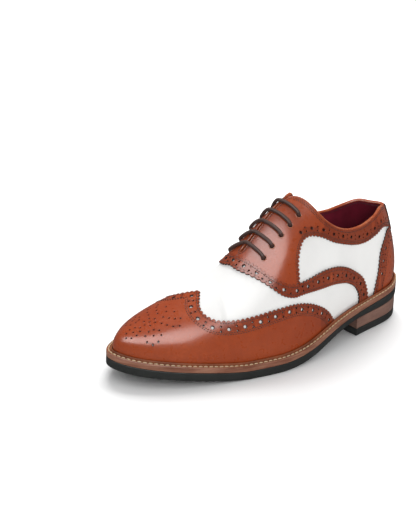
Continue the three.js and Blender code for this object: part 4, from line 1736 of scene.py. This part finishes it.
def make_eyelet_rims():
    """The faint ring that the punch leaves round each lace hole."""
    sizes = bpy.context.scene.shoe_sizes
    verts = []
    faces = []
    around = 28
    section = 8
    for inner in (False, True):
        rows = eyelet_places(inner)
        points = last_point(rows)
        normals = last_normal(rows)
        along = unit(tangents(rows)[0])
        across = np.cross(normals, along)
        for p, n, a, b in zip(points, normals, along, across):
            start = len(verts)
            for i in range(around):
                angle = 2 * pi * i / around
                d = a * cos(angle) + b * sin(angle)
                centre = p + n * sizes.face + d * (sizes.eyelet / 2 + 0.35 * mm)
                for j in range(section):
                    turn = 2 * pi * j / section
                    verts.append(centre + d * 0.42 * mm * cos(turn) + n * 0.24 * mm * sin(turn))
            for i in range(around):
                for j in range(section):
                    k = (i + 1) % around
                    m = (j + 1) % section
                    faces.append((
                        start + i * section + j, start + k * section + j,
                        start + k * section + m, start + i * section + m,
                    ))
    piece = new_object("eyelet_rims", verts, faces, [finish_of("bead")])
    ready(piece, "brown_leather")


def make_thread():
    """All the stitches of the upper that the panels asked for."""
    ready(stitches("upper_stitches", rows_of_thread["dark"], finish_of("thread_dark")), "brown_leather")
    edge = Line(throat.places[throat.places[:, 0] < 0.428])
    row = beside(edge, 3.2 * mm)
    inner_rows = []
    for places in (row.places, mirrored(row.places)):
        made = stitch_row(Line(places), 2.6 * mm, -UPPER_WALL - 0.1 * mm)
        points, along, left, normal, length, radius = made
        inner_rows.append((points, along, -left, -normal, length, radius))
    ready(stitches("collar_stitches", inner_rows, finish_of("thread_dark")), "lining")


# Stage

CAMERA_AZIMUTH = 52.2
CAMERA_ELEVATION = 21.0
CAMERA_ROLL = 2.06
CAMERA_DISTANCE = 1.495
CAMERA_SLIDE = (-46.4 * mm, 34.0 * mm)
CAMERA_AIM = 40 * mm
PHOTO_HEIGHT = 520
FOCAL_PIXELS = 1737
SENSOR = 36


def make_camera():
    a = radians(CAMERA_AZIMUTH)
    e = radians(CAMERA_ELEVATION)
    r = radians(CAMERA_ROLL)
    back = Vector((sin(a) * cos(e), -cos(a) * cos(e), sin(e)))
    right = Vector((cos(a), sin(a), 0))
    up = back.cross(right)
    tilted_right = right * cos(r) + up * sin(r)
    tilted_up = up * cos(r) - right * sin(r)
    place = Vector((float(SHIFT), 0, CAMERA_AIM)) + back * CAMERA_DISTANCE
    place += tilted_right * CAMERA_SLIDE[0] + tilted_up * CAMERA_SLIDE[1]
    data = bpy.data.cameras.new("camera")
    data.sensor_fit = "VERTICAL"
    data.sensor_height = SENSOR
    data.lens = FOCAL_PIXELS * SENSOR / PHOTO_HEIGHT
    data.clip_start = 0.01
    data.clip_end = 50
    camera = bpy.data.objects.new("camera", data)
    bpy.context.scene.collection.objects.link(camera)
    turned = Matrix((tilted_right, tilted_up, back)).transposed().to_4x4()
    camera.matrix_world = Matrix.Translation(place) @ turned
    bpy.context.scene.camera = camera


class ShoeStage(bpy.types.PropertyGroup):
    floor: colour_setting("Floor", "Plain pale floor", (0.93, 0.93, 0.93))
    sky: bpy.props.FloatProperty(name="Sky", description="Strength of the even light", default=0.66)
    gleam: bpy.props.FloatProperty(
        name="Gleam", description="Power of the box seen in the polish", default=32.0, unit="POWER",
    )
    backdrop: bpy.props.FloatProperty(
        name="Backdrop", description="Brightness behind the shoe", default=1.0,
    )
    shine: bpy.props.FloatProperty(
        name="Shine", description="Brightness seen in the polish", default=0.12,
    )
    over: bpy.props.FloatProperty(
        name="Softbox", description="Power of the box overhead", default=21.0, unit="POWER",
    )
    side: bpy.props.FloatProperty(
        name="Side", description="Power of the box beside the camera", default=5.0, unit="POWER",
    )


# The boxes: place, height of their aim, size, setting and the rays that don't see them
LIGHTS = [
    ("softbox_over", (-0.66, 0.52, 1.05), 0.04, (1.0, 0.8), "over", "visible_glossy"),
    ("softbox_shine", (0.22, -0.52, 1.18), 0.06, (2.3, 0.8), "gleam", "visible_diffuse"),
    ("softbox_side", (1.3, -0.5, 0.75), 0.05, (0.9, 0.7), "side", "visible_glossy"),
]


def area_light(name, place, aim, size, power):
    data = bpy.data.lights.new(name, "AREA")
    data.shape = "RECTANGLE"
    data.size, data.size_y = size
    data.energy = power
    lamp = bpy.data.objects.new(name, data)
    bpy.context.scene.collection.objects.link(lamp)
    lamp.location = place
    lamp.rotation_euler = (Vector((0, 0, aim)) - Vector(place)).to_track_quat("-Z", "Y").to_euler()
    return lamp


def make_stage():
    stage = bpy.context.scene.shoe_stage
    reach = 8.0
    corners = [(-reach, -reach, 0), (reach, -reach, 0), (reach, reach, 0), (-reach, reach, 0)]
    finish = Finish("floor_paper", 0.9)
    shade = [0.985 * c for c in stage.floor]
    cloud = finish.ranged(finish.noise(3, 2.0), 0.3, 0.7)
    finish.colour(finish.mixed(cloud, stage.floor, shade))
    floor = new_object("floor", corners, [(0, 1, 2, 3)], [finish.material], smooth=False)
    floor.location.z = -0.0001
    world = bpy.data.worlds.new("studio")
    world.use_nodes = True
    tree = world.node_tree
    sky = tree.nodes["Background"]
    sky.inputs["Color"].default_value = (1, 1, 1, 1)
    path = tree.nodes.new("ShaderNodeLightPath")
    strength = stage.sky
    for ray, level in (("Is Glossy Ray", stage.shine), ("Is Camera Ray", stage.backdrop)):
        chosen = tree.nodes.new("ShaderNodeMix")
        tree.links.new(path.outputs[ray], chosen.inputs["Factor"])
        if isinstance(strength, float):
            chosen.inputs["A"].default_value = strength
        else:
            tree.links.new(strength, chosen.inputs["A"])
        chosen.inputs["B"].default_value = level
        strength = chosen.outputs["Result"]
    tree.links.new(strength, sky.inputs["Strength"])
    bpy.context.scene.world = world
    bpy.context.scene.view_settings.view_transform = "Standard"
    floor.visible_glossy = False
    for name, place, aim, size, setting, unseen in LIGHTS:
        lamp = area_light(name, place, aim, size, getattr(stage, setting))
        setattr(lamp, unseen, False)
    make_camera()


# Operators


class ShoeOperator:
    bl_options = {"REGISTER", "UNDO"}
    steps = ()

    def execute(self, context):
        for step in self.steps:
            step()
        return {"FINISHED"}


def operator(identifier, label, text, *steps):
    """An operator class for one piece or a group of like pieces."""
    return type("SHOE_OT_" + identifier, (ShoeOperator, bpy.types.Operator), {
        "bl_idname": "shoe." + identifier, "bl_label": label, "__doc__": text, "steps": steps,
    })


OPERATORS = [
    operator(
        "sole", "Sole unit",
        "Make the rubber outsole, the stacked heel and its top piece",
        make_outsole, make_heel,
    ),
    operator(
        "welt", "Welt",
        "Make the welt with its rib and stitches",
        make_welt,
    ),
    operator(
        "sock", "Sock",
        "Make the leather sock over the insole",
        make_insole,
    ),
    operator(
        "quarters", "Quarters",
        "Make the white vamp and quarters and their lining",
        make_quarters,
    ),
    operator(
        "bead", "Topline",
        "Make the rolled edge of the topline and slit",
        make_bead,
    ),
    operator(
        "wing", "Wing cap",
        "Make the winged toe cap with its punching",
        make_wing,
    ),
    operator(
        "band", "Vamp band",
        "Make the punched band over the vamp",
        make_band,
    ),
    operator(
        "facings", "Facings",
        "Make both facings with the strip along the topline",
        make_facings,
    ),
    operator(
        "counter", "Counter",
        "Make the heel counter and the back strip",
        make_lower_counter, make_back_strip,
    ),
    operator(
        "tongue", "Tongue",
        "Make the tongue under the slit",
        make_tongue,
    ),
    operator(
        "lace", "Lace",
        "Make the lace and the rims of its holes",
        make_lace, make_eyelet_rims,
    ),
    operator(
        "thread", "Thread",
        "Make the stitches of the upper",
        make_thread,
    ),
    operator(
        "stage", "Stage",
        "Make the floor, the lights and the camera",
        make_stage,
    ),
]


class SHOE_PT_pieces(bpy.types.Panel):
    """Lists the pieces of the shoe in the order in which they are made."""

    bl_idname = "SHOE_PT_pieces"
    bl_label = "Wingtip shoe"
    bl_space_type = "VIEW_3D"
    bl_region_type = "UI"
    bl_category = "Shoe"

    def draw(self, context):
        layout = self.layout
        for group in ("shoe_sizes", "shoe_finishes", "shoe_stage"):
            box = layout.box()
            settings = getattr(context.scene, group)
            for name in settings.__annotations__:
                box.prop(settings, name)
        for made in OPERATORS:
            layout.operator(made.bl_idname)


CLASSES = [ShoeFinishes, ShoeSizes, ShoeStage, *OPERATORS, SHOE_PT_pieces]


def register():
    for item in CLASSES:
        bpy.utils.register_class(item)
    bpy.types.Scene.shoe_finishes = bpy.props.PointerProperty(type=ShoeFinishes)
    bpy.types.Scene.shoe_sizes = bpy.props.PointerProperty(type=ShoeSizes)
    bpy.types.Scene.shoe_stage = bpy.props.PointerProperty(type=ShoeStage)


def unregister():
    for name in ("shoe_finishes", "shoe_sizes", "shoe_stage"):
        delattr(bpy.types.Scene, name)
    for item in reversed(CLASSES):
        bpy.utils.unregister_class(item)


def main():
    register()
    for made in OPERATORS:
        getattr(bpy.ops.shoe, made.bl_idname.split(".")[1])()


if __name__ == "__main__":
    main()
